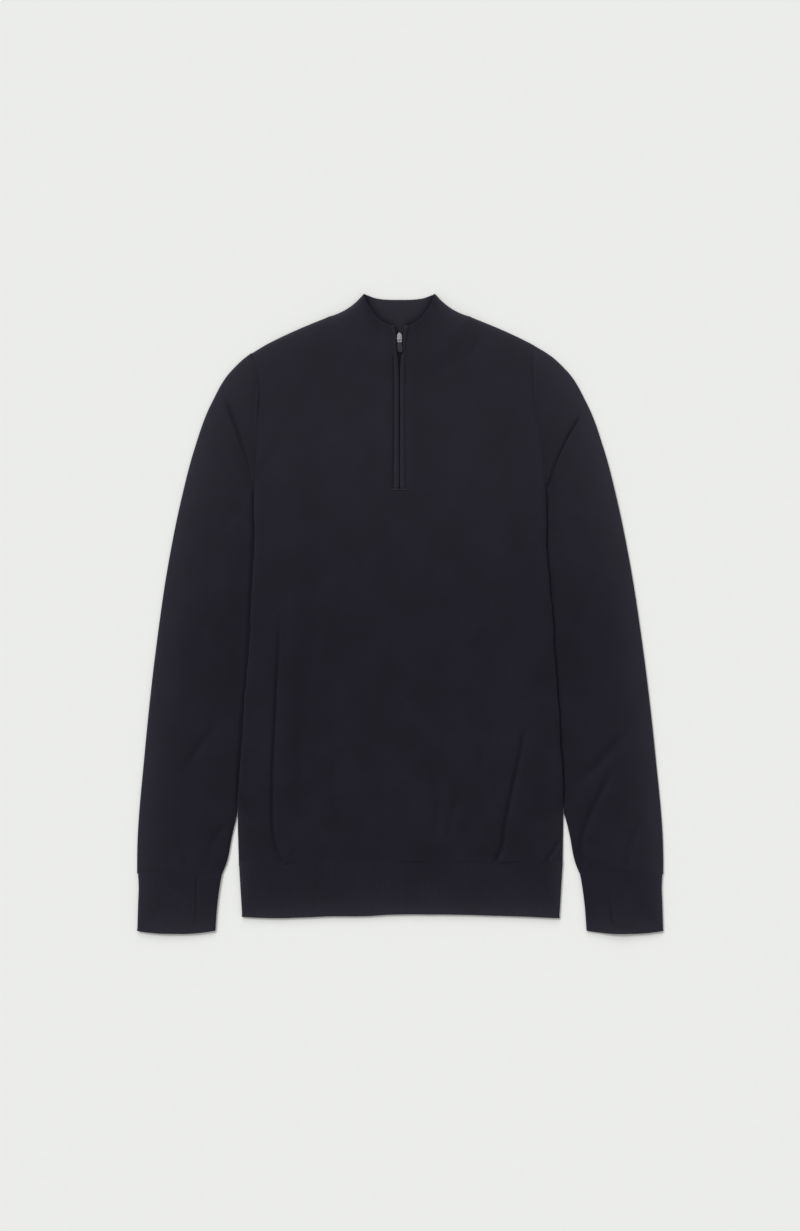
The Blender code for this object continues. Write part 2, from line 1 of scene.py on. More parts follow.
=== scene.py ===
"""The looks of the quarter zip sweater: its knit, ribs, folds and zip, laid flat and seen from above.

Sizes are in millimetres in the CAD's frame and become metres where a mesh is made. "left" and "right" are the
sides seen from above. Each half is worked out on the right, where x is the distance from the middle, and the
left one is mirrored.
"""

from collections import namedtuple

import bmesh
import bpy
import numpy as np
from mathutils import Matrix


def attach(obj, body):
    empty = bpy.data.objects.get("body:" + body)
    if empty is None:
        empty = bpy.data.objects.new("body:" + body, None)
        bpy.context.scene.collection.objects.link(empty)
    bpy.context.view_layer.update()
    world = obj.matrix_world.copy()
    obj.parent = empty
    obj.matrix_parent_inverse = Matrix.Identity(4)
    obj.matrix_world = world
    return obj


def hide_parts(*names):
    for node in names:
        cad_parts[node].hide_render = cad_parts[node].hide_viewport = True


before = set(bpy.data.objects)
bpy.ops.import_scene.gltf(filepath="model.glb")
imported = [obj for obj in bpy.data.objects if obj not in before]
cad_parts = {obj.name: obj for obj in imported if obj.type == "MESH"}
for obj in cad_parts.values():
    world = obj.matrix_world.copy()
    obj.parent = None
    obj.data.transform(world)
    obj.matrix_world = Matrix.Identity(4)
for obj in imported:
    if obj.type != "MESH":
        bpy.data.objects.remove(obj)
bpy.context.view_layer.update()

MM = 0.001
SIDES = ("left", "right")
SIGN = {"left": -1, "right": 1}


def table(kind, *rows):
    return [kind(*row) for row in rows]


# --- sizes: as in the CAD, with outlines up to a few millimetres nearer to the real garment's ---

KNIT, SLEEVE_WALL, RIB, COLLAR_WALL = 1.5, 1.0, 1.8, 2.4
# Two layers that lie on each other.
FLAT, RIB_FLAT, COLLAR_FLAT = 3.4, 4.0, 5.8
HEM_TOP_Y = -285.0
HEM_HALF_TOP, HEM_HALF_END = 186.4, 182.5
HEM_SHIFT = 1.5
CUFF_TOP_Y, CUFF_END_Y = -298.0, -367.3
CUFF_WIDTH = 90.0
UNDERARM_Y = 146.0
ZIP_END_Y = 143.8
ZIP_HALF = 7.4
NECK_HALF = 80.5
NECK_BASE_Y = 295.6
SHOULDER_TIP_Y = {"left": 300.3, "right": 309.4}
# The tucked sleeves lift the body's sides: how much, between which heights and how far in.
LIFT = 4.4
LIFT_GROWS_Y, LIFT_ENDS_Y = (222.0, 98.0), (-240.0, -195.0)
LIFT_REACH = (78.0, 46.0)
# How far the sleeves are tucked under the body, between which heights, and where they come out from under it.
# Just above that their folds stay a little under the body's sides.
TUCK = 38.0
TUCK_LOW_Y, TUCK_HIGH_Y = -190.0, 146.0
SLEEVE_OUT_Y = (-232.0, -200.0)
COVERED, COVERED_FROM_Y, COVERED_TO_Y = 1.9, (-150.0, TUCK_LOW_Y), (-208.0, -225.0)
BODY_PUFF, PUFF_AT_EDGE, PUFF_REACH = 1.6, 0.35, 45.0
SLEEVE_PUFF, CUFF_PUFF = 0.8, 0.5
ZIP_RISE, ZIP_RISE_X, ZIP_RISE_Y = 1.4, (30.0, 15.0), (118.0, ZIP_END_Y)
NECK_RISE, NECK_RISE_REACH, NECK_RISE_X = 2.4, 34.0, (NECK_HALF + 30, NECK_HALF - 10)
# How far round edges reach in from the outline.
SIDE_ROUND, SHOULDER_ROUND, CORNER_ROUND, ARM_ROUND = 7.0, 5.0, 9.0, 6.0
HEM_ROUND, CUFF_ROUND = 3.0, 2.6
COLLAR_ROUND_FRONT, COLLAR_ROUND_BACK = 9.0, 5.0
COLLAR_HOLLOW = 3.9
RIB_PITCH, RIB_RISE = 3.3, 0.44
# Rib ends curl inwards by this radius, through these angles.
CURL, CURL_TURNS = 1.1, (20, 40, 60, 75, 88, 100)

Edge = namedtuple("Edge", "y left right")
BODY_EDGE = table(
    Edge,
    (-285.0, 184.9, 187.8),
    (-228.0, 186.0, 188.4),
    (-175.0, 182.8, 186.9),
    (-113.0, 178.6, 182.9),
    (-38.0, 172.6, 178.0),
    (33.0, 169.0, 172.6),
    (88.5, 166.4, 168.6),
    (146.0, 166.6, 168.0),
    (200.0, 164.0, 161.5),
    (232.0, 162.6, 156.3),
    (256.0, 161.0, 154.8),
    (275.0, 163.8, 154.2),
    (309.0, 172.5, 154.2),
)
Point = namedtuple("Point", "x y")
SHOULDER = table(
    Point, (NECK_HALF, 342.4), (96.0, 336.2), (118.0, 327.0), (138.0, 317.8), (156.0, 308.5), (170.0, 299.8)
)
NECK_FRONT = table(
    Point, (ZIP_HALF, NECK_BASE_Y), (23.0, 298.5), (42.0, 306.0), (60.0, 318.0), (72.0, 331.0), SHOULDER[0]
)
NECK_BACK = table(Point, (0.0, 314.0), (25.0, 316.5), (50.0, 324.5), SHOULDER[0])
SLEEVE_OUTER = table(
    Point,
    (154.0, 309.4),
    (170.8, 299.2),
    (191.6, 280.6),
    (214.5, 243.8),
    (235.2, 188.6),
    (249.6, 133.4),
    (264.5, 60.0),
    (279.5, -41.4),
    (292.7, -161.0),
    (301.3, -271.4),
    (301.5, -298.0),
)
SLEEVE_INNER = table(Point, (188.9, -228.0), (194.9, -253.0), (203.0, -289.8), (206.5, -298.0))
# How much farther out each sleeve's folds lie than these tables: at its top and at the cuff.
OUTER_SHIFT = {"left": (1.2, 0.5), "right": (0.3, 2.1)}
INNER_SHIFT = {"left": (-2.4, -2.8), "right": (0.0, 0.6)}
# A sleeve's rings: where each meets the outer fold and the inner fold, and how far it bows inwards between
# them. The cap's are sewn to the body: seat is the share of the body's lift at their underside, and follow
# the share by which they follow its side.
Ring = namedtuple("Ring", "left_outer right_outer inner_y bow seat follow", defaults=(0.0, 0.0))
CAP_RINGS = table(
    Ring,
    (300.3, 309.4, 146.0, 0.0, 1.0, 1.0),
    (289.0, 288.0, 144.6, 1.5, 0.8, 0.5),
    (276.0, 265.0, 143.0, 3.5, 0.5, 0.15),
    (262.0, 241.0, 141.2, 5.0, 0.2, 0.0),
)
ARM_RINGS = table(
    Ring,
    (259.5, 238.5, 138.8, 5.0),
    (234.0, 213.0, 134.6, 3.0),
    (200.0, 179.0, 129.0, 1.0),
    (142.0, 142.0, 121.0, 0.0),
    (102.0, 102.0, 100.0, 0.0),
    (60.0, 60.0, 60.0, 0.0),
    (0.0, 0.0, 0.0, 0.0),
    (-100.0, -100.0, -100.0, 0.0),
    (-200.0, -200.0, -200.0, 0.0),
    (-298.0, -298.0, -298.0, 0.0),
)
BOW = {"left": 0.6, "right": 1.3}
# How far apart the rows of the sleeves' and the panels' meshes are.
CAP_SPACING, ARM_SPACING = 2.0, 2.3
FRONT_SPACING, BACK_SPACING = 2.6, 3.6
# The cap's first rings lie along the armhole seam: how far out from it, and their share of its groove.
SeamRing = namedtuple("SeamRing", "out groove")
SEAM_RINGS = table(SeamRing, (-0.6, 1.9), (0.05, 0.95), (0.7, 0.45))
Groove = namedtuple("Groove", "depth width top_y")
ARMHOLE_GROOVE = {"left": Groove(1.25, 1.9, 306.0), "right": Groove(1.0, 2.6, 298.0)}
# Between these heights it fades in, from below.
ARMHOLE_FADE_Y = (214.0, 234.0)
# The left sleeve has a second, softer crease this far out from the seam.
SECOND_CREASE_OUT, SECOND_CREASE = 5.5, Groove(0.8, 1.6, 286.0)
# How deep and how wide each sleeve is pressed down beside the body.
Pressed = namedtuple("Pressed", "depth width")
PRESSED = {"left": Pressed(2.9, 2.4), "right": Pressed(2.1, 3.7)}
PRESSED_FROM_Y, PRESSED_TO_Y = (UNDERARM_Y, 132.0), (-232.0, -205.0)
Cuff = namedtuple("Cuff", "y inner outer")
CUFF = table(
    Cuff, (-298.3, 207.0, 300.4), (-312.0, 209.4, 299.7), (-335.0, 212.4, 300.4), (-366.9, 214.8, 301.3)
)
COLLAR_CORNER = Point(41.2, 368.4)
COLLAR_TOP_FRONT = table(
    Point, (11.4, 331.6), (19.0, 335.5), (28.6, 344.8), (36.5, 356.8), COLLAR_CORNER
)
COLLAR_TOP_BACK = table(
    Point, (0.0, 361.6), (12.0, 361.7), (22.0, 362.5), (30.0, 364.2), (36.0, 366.5), COLLAR_CORNER
)
Strip = namedtuple("Strip", "y inner outer")
WELT = table(
    Strip,
    (144.1, 0.4, 6.5),
    (200.0, 0.4, 6.2),
    (222.0, 0.6, 6.1),
    (270.0, 0.65, 6.3),
    (287.0, 1.3, 6.5),
    (300.0, 2.6, 6.8),
    (311.0, 3.5, 7.3),
    (322.0, 4.3, 8.8),
    (331.2, 5.8, 11.0),
)
WELT_RISE, WELT_DEPTH, WELT_ROUND, WELT_CROWN = 0.6, 2.8, 1.5, 0.35
TAPE_Y, TAPE_OUTER_X, TAPE_BELOW, TAPE_WALL = (146.0, 330.0), 12.0, 2.8, 0.7
# The inner edges of the tape and of the coil on it, closed below the slider and parted above it.
Parting = namedtuple("Parting", "y x")
TAPE_PARTING = table(Parting, (146.0, 0.25), (300.0, 0.25), (310.0, 0.3), (319.0, 1.3), (330.0, 3.6))
COIL_PARTING = table(Parting, (146.0, 0.0), (308.0, 0.0), (319.0, 1.6), (330.0, 4.0))
COIL_PITCH = 1.3
TAB_LEAN, TAB_LINK_Y = 0.09, 311.2

# --- the folds that only the looks have ---

# Each runs through its points. lip is the height of the cloth that it pushes up on both sides, reach how far
# off that is, and lean moves it to the left of the run (1) or to the right of it (-1). The ends fade over the
# last two shares of its length.
Crease = namedtuple("Crease", "points depth width lip reach lean fade_in fade_out")
LONG_LEFT = [(-136, 16), (-140, -60), (-143, -130), (-146, -205), (-145, -252), (-140, -275)]
LONG_LEFT += [(-135, -285), (-126, -289), (-114, -290)]
LONG_RIGHT = [(147, -118), (138, -165), (130, -203), (121.5, -245), (116.5, -274), (109.5, -286)]
# The shares of the half width between which those two run.
CREASED = (0.58, 0.84)
BODY_CREASES = [
    Crease(LONG_LEFT, 2.7, 2.1, 1.3, 9, -0.2, 0.3, 0.12),
    Crease(LONG_RIGHT, 2.8, 3.0, 1.2, 10, 0.2, 0.35, 0.03),
    Crease([(187, -257), (178, -271), (166, -288)], 1.6, 1.6, 0.8, 6, 0.2, 0.25, 0.05),
    Crease([(38, -176), (43.5, -218), (44.5, -240), (37, -262)], 1.3, 4.0, 1.0, 10, -0.3, 0.4, 0.3),
    Crease([(68, -196), (66, -216), (60, -236), (56, -264)], 1.0, 4.0, 0.8, 9, 0.2, 0.4, 0.3),
    Crease([(93, -140), (95.5, -165), (94, -190)], 0.8, 4.0, 0.5, 9, 0.0, 0.45, 0.45),
    Crease([(35, 66), (36, 30), (34, 0)], 0.5, 5.0, 0.3, 12, 0.0, 0.45, 0.45),
    Crease([(-72, -155), (-76, -190), (-72, -222), (-69, -258)], 1.2, 6.0, 0.9, 14, 0.3, 0.4, 0.3),
    Crease([(-112, -125), (-115, -158), (-112, -190)], 0.9, 7.0, 0.5, 15, 0.0, 0.45, 0.45),
    Crease([(-166, 152), (-148, 180), (-132, 206)], 0.5, 6.0, 0.3, 12, 0.3, 0.1, 0.6),
    Crease([(168, 152), (150, 176), (134, 198)], 0.5, 6.0, 0.3, 12, -0.3, 0.1, 0.6),
    Crease([(-186, -205), (-172, -232), (-163, -268)], 1.0, 4.5, 0.7, 10, 0.2, 0.2, 0.4),
    Crease([(-95, 318), (-88, 296), (-70, 276)], 0.7, 6.0, 0.5, 12, 0.0, 0.2, 0.6),
    Crease([(92, 322), (84, 300), (66, 282)], 0.7, 6.0, 0.5, 12, 0.0, 0.2, 0.6),
]
# Those of the underside, where they only rise from the surface that the sweater lies on.
BACK_CREASES = [
    Crease([(-120, 60), (-128, -20), (-131, -110), (-126, -190)], 1.1, 3.0, 0.0, 10, 0.0, 0.3, 0.3),
    Crease([(96, -60), (108, -140), (103, -215), (92, -270)], 1.3, 3.0, 0.0, 10, 0.0, 0.35, 0.1),
    Crease([(-60, -170), (-48, -222), (-52, -276)], 1.0, 3.5, 0.0, 10, 0.0, 0.4, 0.1),
    Crease([(20, -206), (27, -240), (22, -280)], 0.9, 3.0, 0.0, 10, 0.0, 0.4, 0.1),
    Crease([(-150, 190), (-110, 222), (-64, 236)], 0.8, 5.0, 0.0, 10, 0.0, 0.2, 0.5),
    Crease([(150, 196), (116, 232), (60, 240)], 0.8, 5.0, 0.0, 10, 0.0, 0.2, 0.5),
    Crease([(-40, 290), (0, 276), (44, 292)], 0.6, 5.0, 0.0, 10, 0.0, 0.3, 0.3),
]
ARM_CREASES = {
    "left": [
        Crease([(206, -120), (238, -165), (262, -196)], 0.9, 6.0, 0.6, 13, 0.2, 0.3, 0.5),
        Crease([(196, -236), (214, -262), (222, -292)], 0.7, 4.5, 0.5, 10, 0.2, 0.2, 0.2),
        Crease([(262, -232), (250, -262), (244, -296)], 0.9, 5.0, 0.6, 11, -0.2, 0.4, 0.1),
        Crease([(176, 128), (206, 96), (232, 70)], 0.4, 7.0, 0.3, 14, 0.3, 0.05, 0.6),
        Crease([(196, 30), (220, -6), (240, -60)], 0.5, 7.0, 0.4, 14, 0.3, 0.3, 0.6),
    ],
    "right": [
        Crease([(247, -172), (232, -206), (220, -229), (210, -260)], 1.9, 3.4, 1.4, 9, 0.3, 0.35, 0.1),
        Crease([(270, -128), (245, -155), (222, -180), (203, -199)], 1.2, 5.5, 1.0, 12, 0.2, 0.3, 0.3),
        Crease([(212, -250), (209, -266), (214, -292)], 1.7, 3.4, 0.9, 8, -0.2, 0.2, 0.2),
        Crease([(282, -232), (268, -262), (262, -296)], 0.9, 5.0, 0.6, 11, -0.2, 0.4, 0.1),
        Crease([(178, 128), (205, 98), (228, 76)], 0.4, 7.0, 0.3, 14, 0.3, 0.05, 0.6),
        Crease([(190, 10), (216, -30), (238, -72)], 0.5, 7.0, 0.4, 14, 0.3, 0.3, 0.6),
    ],
}
CUFF_RIGHT = [(240, -330), (243.2, -342.7), (245.5, -354.8), (249, -360.3), (263, -363), (276, -365.5)]
CUFF_CREASES = {
    "left": [Crease([(233.5, -299), (233.2, -330), (234.2, -366)], 0.8, 1.4, 0.3, 5, 0.0, 0.1, 0.3)],
    "right": [Crease(CUFF_RIGHT, 1.5, 1.8, 0.9, 5, -0.4, 0.25, 0.3)],
}
# How far the body's lower edge rolls over the hem rib.
Blouse = namedtuple("Blouse", "x roll")
BLOUSE = table(
    Blouse,
    (-186, 0.0), (-143, 0.0), (-134, 0.2), (-120, 0.4), (-108, 0.0), (-74, 0.0), (-66, 0.35),
    (-58, 0.0), (-12, 0.0), (6, 0.6), (30, 0.7), (38, 0.0), (56, 0.0), (64, 0.4), (92, 0.4),
    (98, 0.1), (108, 1.2), (122, 1.0), (146, 0.4), (152, 0.0), (160, 0.3), (168, 0.3), (174, 0.0),
    (186, 0.0),
)
# The hem's cast-off edge.
HEM_END = table(
    Point,
    (-181, -348.8), (-150, -350.0), (-110, -349.5), (-80, -348.2), (-40, -347.9), (-10, -346.1),
    (60, -346.2), (95, -347.0), (130, -348.2), (184, -350.2),
)
# How far the cloth swells unevenly, and how near to a sleeve's seam it is still calm.
FRONT_SWELL, BACK_SWELL, HEM_SWELL, CUFF_SWELL, CAP_SWELL, ARM_SWELL = 0.75, 0.3, 0.45, 0.5, 0.6, 0.85
CALM_REACH = 26
# The grooves along the welts, and how far the zip's slit moves the cloth beside it.
WELT_GROOVE, WELT_GROOVE_WIDTH, SLIT_REACH = 0.75, 1.2, 34


# --- arithmetic ---


def curve(at, value):
    """A smooth function through the given places, level past the first and the last."""
    order = np.argsort(at)
    at = np.array(at, float)[order]
    value = np.array(value, float)[order]
    slope = np.gradient(value, at)

    def read(x):
        x = np.clip(x, at[0], at[-1])
        i = np.clip(np.searchsorted(at, x) - 1, 0, len(at) - 2)
        step = at[i + 1] - at[i]
        t = (x - at[i]) / step
        start = (1 + 2 * t) * (1 - t) ** 2 * value[i] + t * (1 - t) ** 2 * step * slope[i]
        end = t * t * (3 - 2 * t) * value[i + 1] + t * t * (t - 1) * step * slope[i + 1]
        return start + end

    return read


def of_table(rows, key, name):
    return curve([getattr(row, key) for row in rows], [getattr(row, name) for row in rows])


def ease(x, start, end):
    t = np.clip((np.asarray(x, float) - start) / (end - start), 0, 1)
    return t * t * (3 - 2 * t)


def hump(distance, width):
    """A soft hump, from 1 in its middle to nothing at about twice its width."""
    return np.exp(-((distance / width) ** 2))


def run(points):
    """The distance along a line in the plane to each of its points."""
    return np.concatenate([[0], np.cumsum(np.hypot(*np.diff(points, axis=0).T))])


def path(through, share):
    """Points at these shares of the length of a smooth line through the given ones."""
    points = np.array(through, float)
    along = run(points)
    place = np.asarray(share) * along[-1]
    return np.stack([curve(along, points[:, 0])(place), curve(along, points[:, 1])(place)], axis=-1)


edge_of = {side: of_table(BODY_EDGE, "y", side) for side in SIDES}
shoulder_y = of_table(SHOULDER, "x", "y")
neck_front_y = of_table(NECK_FRONT, "x", "y")
neck_back_y = of_table(NECK_BACK, "x", "y")
sleeve_outer_x = of_table(SLEEVE_OUTER, "y", "x")
sleeve_inner_x = of_table(SLEEVE_INNER, "y", "x")
welt_inner_x = of_table(WELT, "y", "inner")
welt_outer_x = of_table(WELT, "y", "outer")
blouse_roll = of_table(BLOUSE, "x", "roll")
hem_end_y = of_table(HEM_END, "x", "y")


def swell(x, y, seed):
    """Slow uneven waves in cloth, from -1 to 1, as no cloth lies quite flat."""
    total = np.zeros(np.broadcast(x, y).shape)
    turns = np.random.default_rng(seed)
    for wave in (150.0, 95.0, 61.0, 39.0, 27.0):
        for _ in range(2):
            angle = turns.uniform(0, np.pi)
            phase = turns.uniform(0, 2 * np.pi)
            along = (x * np.cos(angle) * 1.4 + y * np.sin(angle) * 0.7) / wave
            total = total + np.sin(2 * np.pi * along + phase) * wave / 150.0
    return total / 3.0


def crease_height(x, y, creases):
    """The height that creases add to a surface at these places."""
    total = np.zeros(np.broadcast(x, y).shape)
    for crease in creases:
        line = path(crease.points, np.linspace(0, 1, 36))
        margin = 4 * crease.reach
        low, high = line.min(axis=0) - margin, line.max(axis=0) + margin
        near = (x > low[0]) & (x < high[0]) & (y > low[1]) & (y < high[1])
        if not near.any():
            continue
        px, py = x[near], y[near]
        best = np.full(px.shape, 1e9)
        side = np.zeros(px.shape)
        place = np.zeros(px.shape)
        for i in range(len(line) - 1):
            (ax, ay), (bx, by) = line[i], line[i + 1]
            ux, uy = bx - ax, by - ay
            span = ux * ux + uy * uy
            t = np.clip(((px - ax) * ux + (py - ay) * uy) / span, 0, 1)
            distance = np.hypot(px - ax - t * ux, py - ay - t * uy)
            closer = distance < best
            best = np.where(closer, distance, best)
            side = np.where(closer, np.sign(ux * (py - ay) - uy * (px - ax)), side)
            place = np.where(closer, (i + t) / (len(line) - 1), place)
        strength = ease(place, 0, crease.fade_in) * ease(place, 1, 1 - crease.fade_out)
        ends = ease(best, margin, margin * 0.6)
        trough = crease.depth * hump(best, crease.width)
        far = best / crease.reach
        lip = crease.lip * (1 + crease.lean * side) * far * np.exp(1 - far)
        total[near] += strength * ends * (lip - trough)
    return total


def lift(x, y, side):
    grow = ease(y, *LIFT_GROWS_Y) * ease(y, *LIFT_ENDS_Y)
    return LIFT * grow * ease(edge_of[side](y) - x, *LIFT_REACH)


def front_height(x, y, side):
    """The height of the front layer's face before its creases, x being the distance from the middle."""
    inside = edge_of[side](y) - x
    puff = BODY_PUFF * (PUFF_AT_EDGE + (1 - PUFF_AT_EDGE) * ease(inside, 0, PUFF_REACH))
    below_neck = neck_front_y(x) - y
    neck = NECK_RISE * ease(below_neck, NECK_RISE_REACH, 0) * ease(x, *NECK_RISE_X)
    zip_rise = ZIP_RISE * ease(x, *ZIP_RISE_X) * ease(y, *ZIP_RISE_Y)
    return FLAT + lift(x, y, side) + puff + neck + zip_rise


def at_end(reached):
    """The share of its height that a round edge has, from its outline (0) to where it is flat (1)."""
    return np.sqrt(1 - (1 - reached) ** 2)


def painted_light_of(y, from_outline, reach=11.0):
    """Painted light: a painted sheen that lightens the cloth most along the outline, where it rounds over a
    fold, and a painted fall-off of the light that makes it lighter towards the collar than the hem."""
    return 0.275 * ease(y, -60, 250) + 0.62 * np.exp(-np.maximum(from_outline, 0) / reach)


def zip_height(y):
    return front_height(ZIP_HALF, np.minimum(y, NECK_BASE_Y), "right")


# --- materials ---


class Nodes:
    """Short ways to add and link shader nodes."""

    def __init__(self, name):
        self.material = bpy.data.materials.new(name)
        self.material.use_nodes = True
        self.tree = self.material.node_tree
        self.shader = self.tree.nodes["Principled BSDF"]

    def add(self, kind, **settings):
        node = self.tree.nodes.new(kind)
        for key, value in settings.items():
            setattr(node, key, value)
        return node

    def put(self, value, socket):
        if isinstance(value, bpy.types.NodeSocket):
            self.tree.links.new(value, socket)
        else:
            socket.default_value = value

    def set(self, name, value):
        """Gives the shader's input a value or links it."""
        self.put(value, self.shader.inputs[name])

    def cloth(self):
        """The place on the cloth in millimetres: as a vector, across and along."""
        uv = self.add("ShaderNodeUVMap", uv_map="cloth_mm").outputs["UV"]
        split = self.add("ShaderNodeSeparateXYZ")
        self.put(uv, split.inputs[0])
        return uv, split.outputs["X"], split.outputs["Y"]

    def place(self):
        return self.add("ShaderNodeTexCoord").outputs["Object"]

    def wave(self, turns):
        """A wave from 0 to 1 over each whole turn."""
        return self.math("MULTIPLY_ADD", self.math("SINE", self.math("MULTIPLY", turns, 2 * np.pi)), 0.5, 0.5)

    def math(self, operation, a, b=0.0, c=0.0):
        node = self.add("ShaderNodeMath", operation=operation)
        for value, socket in zip((a, b, c), node.inputs):
            self.put(value, socket)
        return node.outputs[0]

    def noise(self, vector, scale, detail=2.0, roughness=0.5):
        node = self.add("ShaderNodeTexNoise")
        self.put(vector, node.inputs["Vector"])
        for key, value in (("Scale", scale), ("Detail", detail), ("Roughness", roughness)):
            node.inputs[key].default_value = value
        return node.outputs["Fac"]

    def mix(self, share, a, b):
        node = self.add("ShaderNodeMix", data_type="RGBA")
        self.put(share, node.inputs["Factor"])
        self.put(a, node.inputs["A"])
        self.put(b, node.inputs["B"])
        return node.outputs["Result"]

    def bump(self, height, distance, strength=1.0):
        node = self.add("ShaderNodeBump")
        node.inputs["Distance"].default_value = distance
        node.inputs["Strength"].default_value = strength
        self.put(height, node.inputs["Height"])
        return node.outputs["Normal"]


def knit_material(name, colour, dark, painted_light_tone, wale, course, relief, rib_pitch=0.0):
    """Fine stocking stitch: two slanted legs to each stitch, with loose fibres over them. The mesh's UV map
    holds millimetres across and along the cloth, and its painted_light attribute how far painted sheen and
    light lighten the colour. A rib gets painted shade in its valleys."""
    n = Nodes(name)
    uv, cloth_x, cloth_y = n.cloth()
    painted_light = n.add("ShaderNodeAttribute", attribute_name="painted_light").outputs["Fac"]
    wobble = n.math("MULTIPLY", n.noise(uv, 0.22, 2.0), 0.9)
    across = n.math("ADD", n.math("DIVIDE", cloth_x, wale), wobble)
    along = n.math("ADD", n.math("DIVIDE", cloth_y, course), n.math("MULTIPLY", wobble, 0.6))
    off_centre = n.math("ABSOLUTE", n.math("SUBTRACT", n.math("FRACT", across), 0.5))
    slant = n.math("ADD", along, n.math("MULTIPLY", off_centre, 1.3))
    strand = n.wave(slant)
    from_leg = n.math("ABSOLUTE", n.math("SUBTRACT", off_centre, 0.25))
    leg = n.math("SUBTRACT", 1.0, n.math("POWER", n.math("MULTIPLY", from_leg, 4.0), 2.0))
    stitch = n.math("MULTIPLY", leg, n.math("MULTIPLY_ADD", strand, 0.55, 0.45))
    fibre = n.noise(uv, 3.1, 4.0, 0.7)
    cloudy = n.noise(uv, 0.018, 3.0, 0.55)
    shade = n.math("MULTIPLY_ADD", stitch, 0.45, n.math("MULTIPLY_ADD", fibre, 0.6, -0.08))
    shade = n.math("ADD", shade, n.math("MULTIPLY_ADD", cloudy, 0.7, -0.35))
    # Painted shade: the rib's valleys are darkened in the colour, where shade falls between its ridges.
    if rib_pitch:
        turn = n.math("MULTIPLY", cloth_x, np.pi / rib_pitch)
        ridge = n.math("POWER", n.math("ABSOLUTE", n.math("COSINE", turn)), 0.7)
        shade = n.math("MULTIPLY", shade, n.math("MULTIPLY_ADD", ridge, 0.45, 0.72))
    knit = n.mix(shade, (*dark, 1), (*colour, 1))
    # Painted light: the painted_light attribute mixes in the lighter painted_light_tone colour, a painted
    # sheen along the outline and a painted fall-off of light towards the collar.
    painted_light_share = n.math("MULTIPLY", painted_light, n.math("MULTIPLY_ADD", fibre, 0.7, 0.35))
    n.set("Base Color", n.mix(painted_light_share, knit, (*painted_light_tone, 1)))
    n.set("Roughness", n.math("MULTIPLY_ADD", fibre, 0.12, 0.84))
    n.set("Normal", n.bump(n.math("ADD", stitch, n.math("MULTIPLY", fibre, 0.5)), relief * MM, 0.8))
    n.set("Specular IOR Level", 0.2)
    n.set("Sheen Weight", 0.08)
    n.set("Sheen Roughness", 0.45)
    n.set("Sheen Tint", (0.72, 0.68, 0.95, 1))
    return n.material


def tape_material():
    """Black zip tape: a fine herringbone weave."""
    n = Nodes("zip tape weave")
    _, cloth_x, cloth_y = n.cloth()
    weave = n.wave(n.math("ADD", n.math("MULTIPLY", cloth_y, 2.0), n.math("PINGPONG", cloth_x, 1.2)))
    n.set("Base Color", n.mix(weave, (0.003, 0.003, 0.004, 1), (0.010, 0.010, 0.013, 1)))
    n.set("Normal", n.bump(weave, 0.08 * MM))
    n.set("Roughness", 0.75)
    return n.material


def coil_material():
    n = Nodes("zip coil nylon")
    place = n.place()
    speck = n.noise(place, 900.0, 3.0)
    n.set("Base Color", n.mix(speck, (0.004, 0.004, 0.005, 1), (0.014, 0.014, 0.017, 1)))
    n.set("Roughness", n.math("MULTIPLY_ADD", speck, 0.2, 0.5))
    n.set("Specular IOR Level", 0.25)
    return n.material


def metal_material():
    """Silver plating: bright, with fine brushing and small marks of wear."""
    n = Nodes("slider plating")
    place = n.place()
    stretch = n.add("ShaderNodeMapping")
    n.put(place, stretch.inputs["Vector"])
    stretch.inputs["Scale"].default_value = (1.0, 0.12, 1.0)
    brush = n.noise(stretch.outputs[0], 2600.0, 4.0, 0.6)
    wear = n.noise(place, 420.0, 3.0, 0.6)
    n.set("Base Color", n.mix(wear, (0.30, 0.30, 0.31, 1), (0.52, 0.52, 0.53, 1)))
    n.set("Roughness", n.math("MULTIPLY_ADD", brush, 0.18, 0.24))
    n.set("Normal", n.bump(n.math("MULTIPLY_ADD", brush, 0.4, wear), 0.02 * MM))
    n.set("Metallic", 1.0)
    return n.material


def tab_material():
    """Dark moulded rubber with a fine grain."""
    n = Nodes("pull tab rubber")
    place = n.place()
    grain = n.noise(place, 3200.0, 4.0, 0.6)
    n.set("Base Color", n.mix(grain, (0.0075, 0.0072, 0.0100, 1), (0.0180, 0.0168, 0.0225, 1)))
    n.set("Roughness", n.math("MULTIPLY_ADD", grain, 0.2, 0.55))
    n.set("Specular IOR Level", 0.35)
    n.set("Normal", n.bump(grain, 0.03 * MM))
    return n.material


def thread_material():
    n = Nodes("sewing thread")
    _, cloth_x, cloth_y = n.cloth()
    ply = n.wave(n.math("ADD", n.math("MULTIPLY", cloth_x, 2.2), n.math("MULTIPLY", cloth_y, 1.6)))
    n.set("Base Color", n.mix(ply, (0.040, 0.037, 0.052, 1), (0.082, 0.077, 0.100, 1)))
    n.set("Normal", n.bump(ply, 0.06 * MM))
    n.set("Roughness", 0.6)
    return n.material


# --- meshes ---


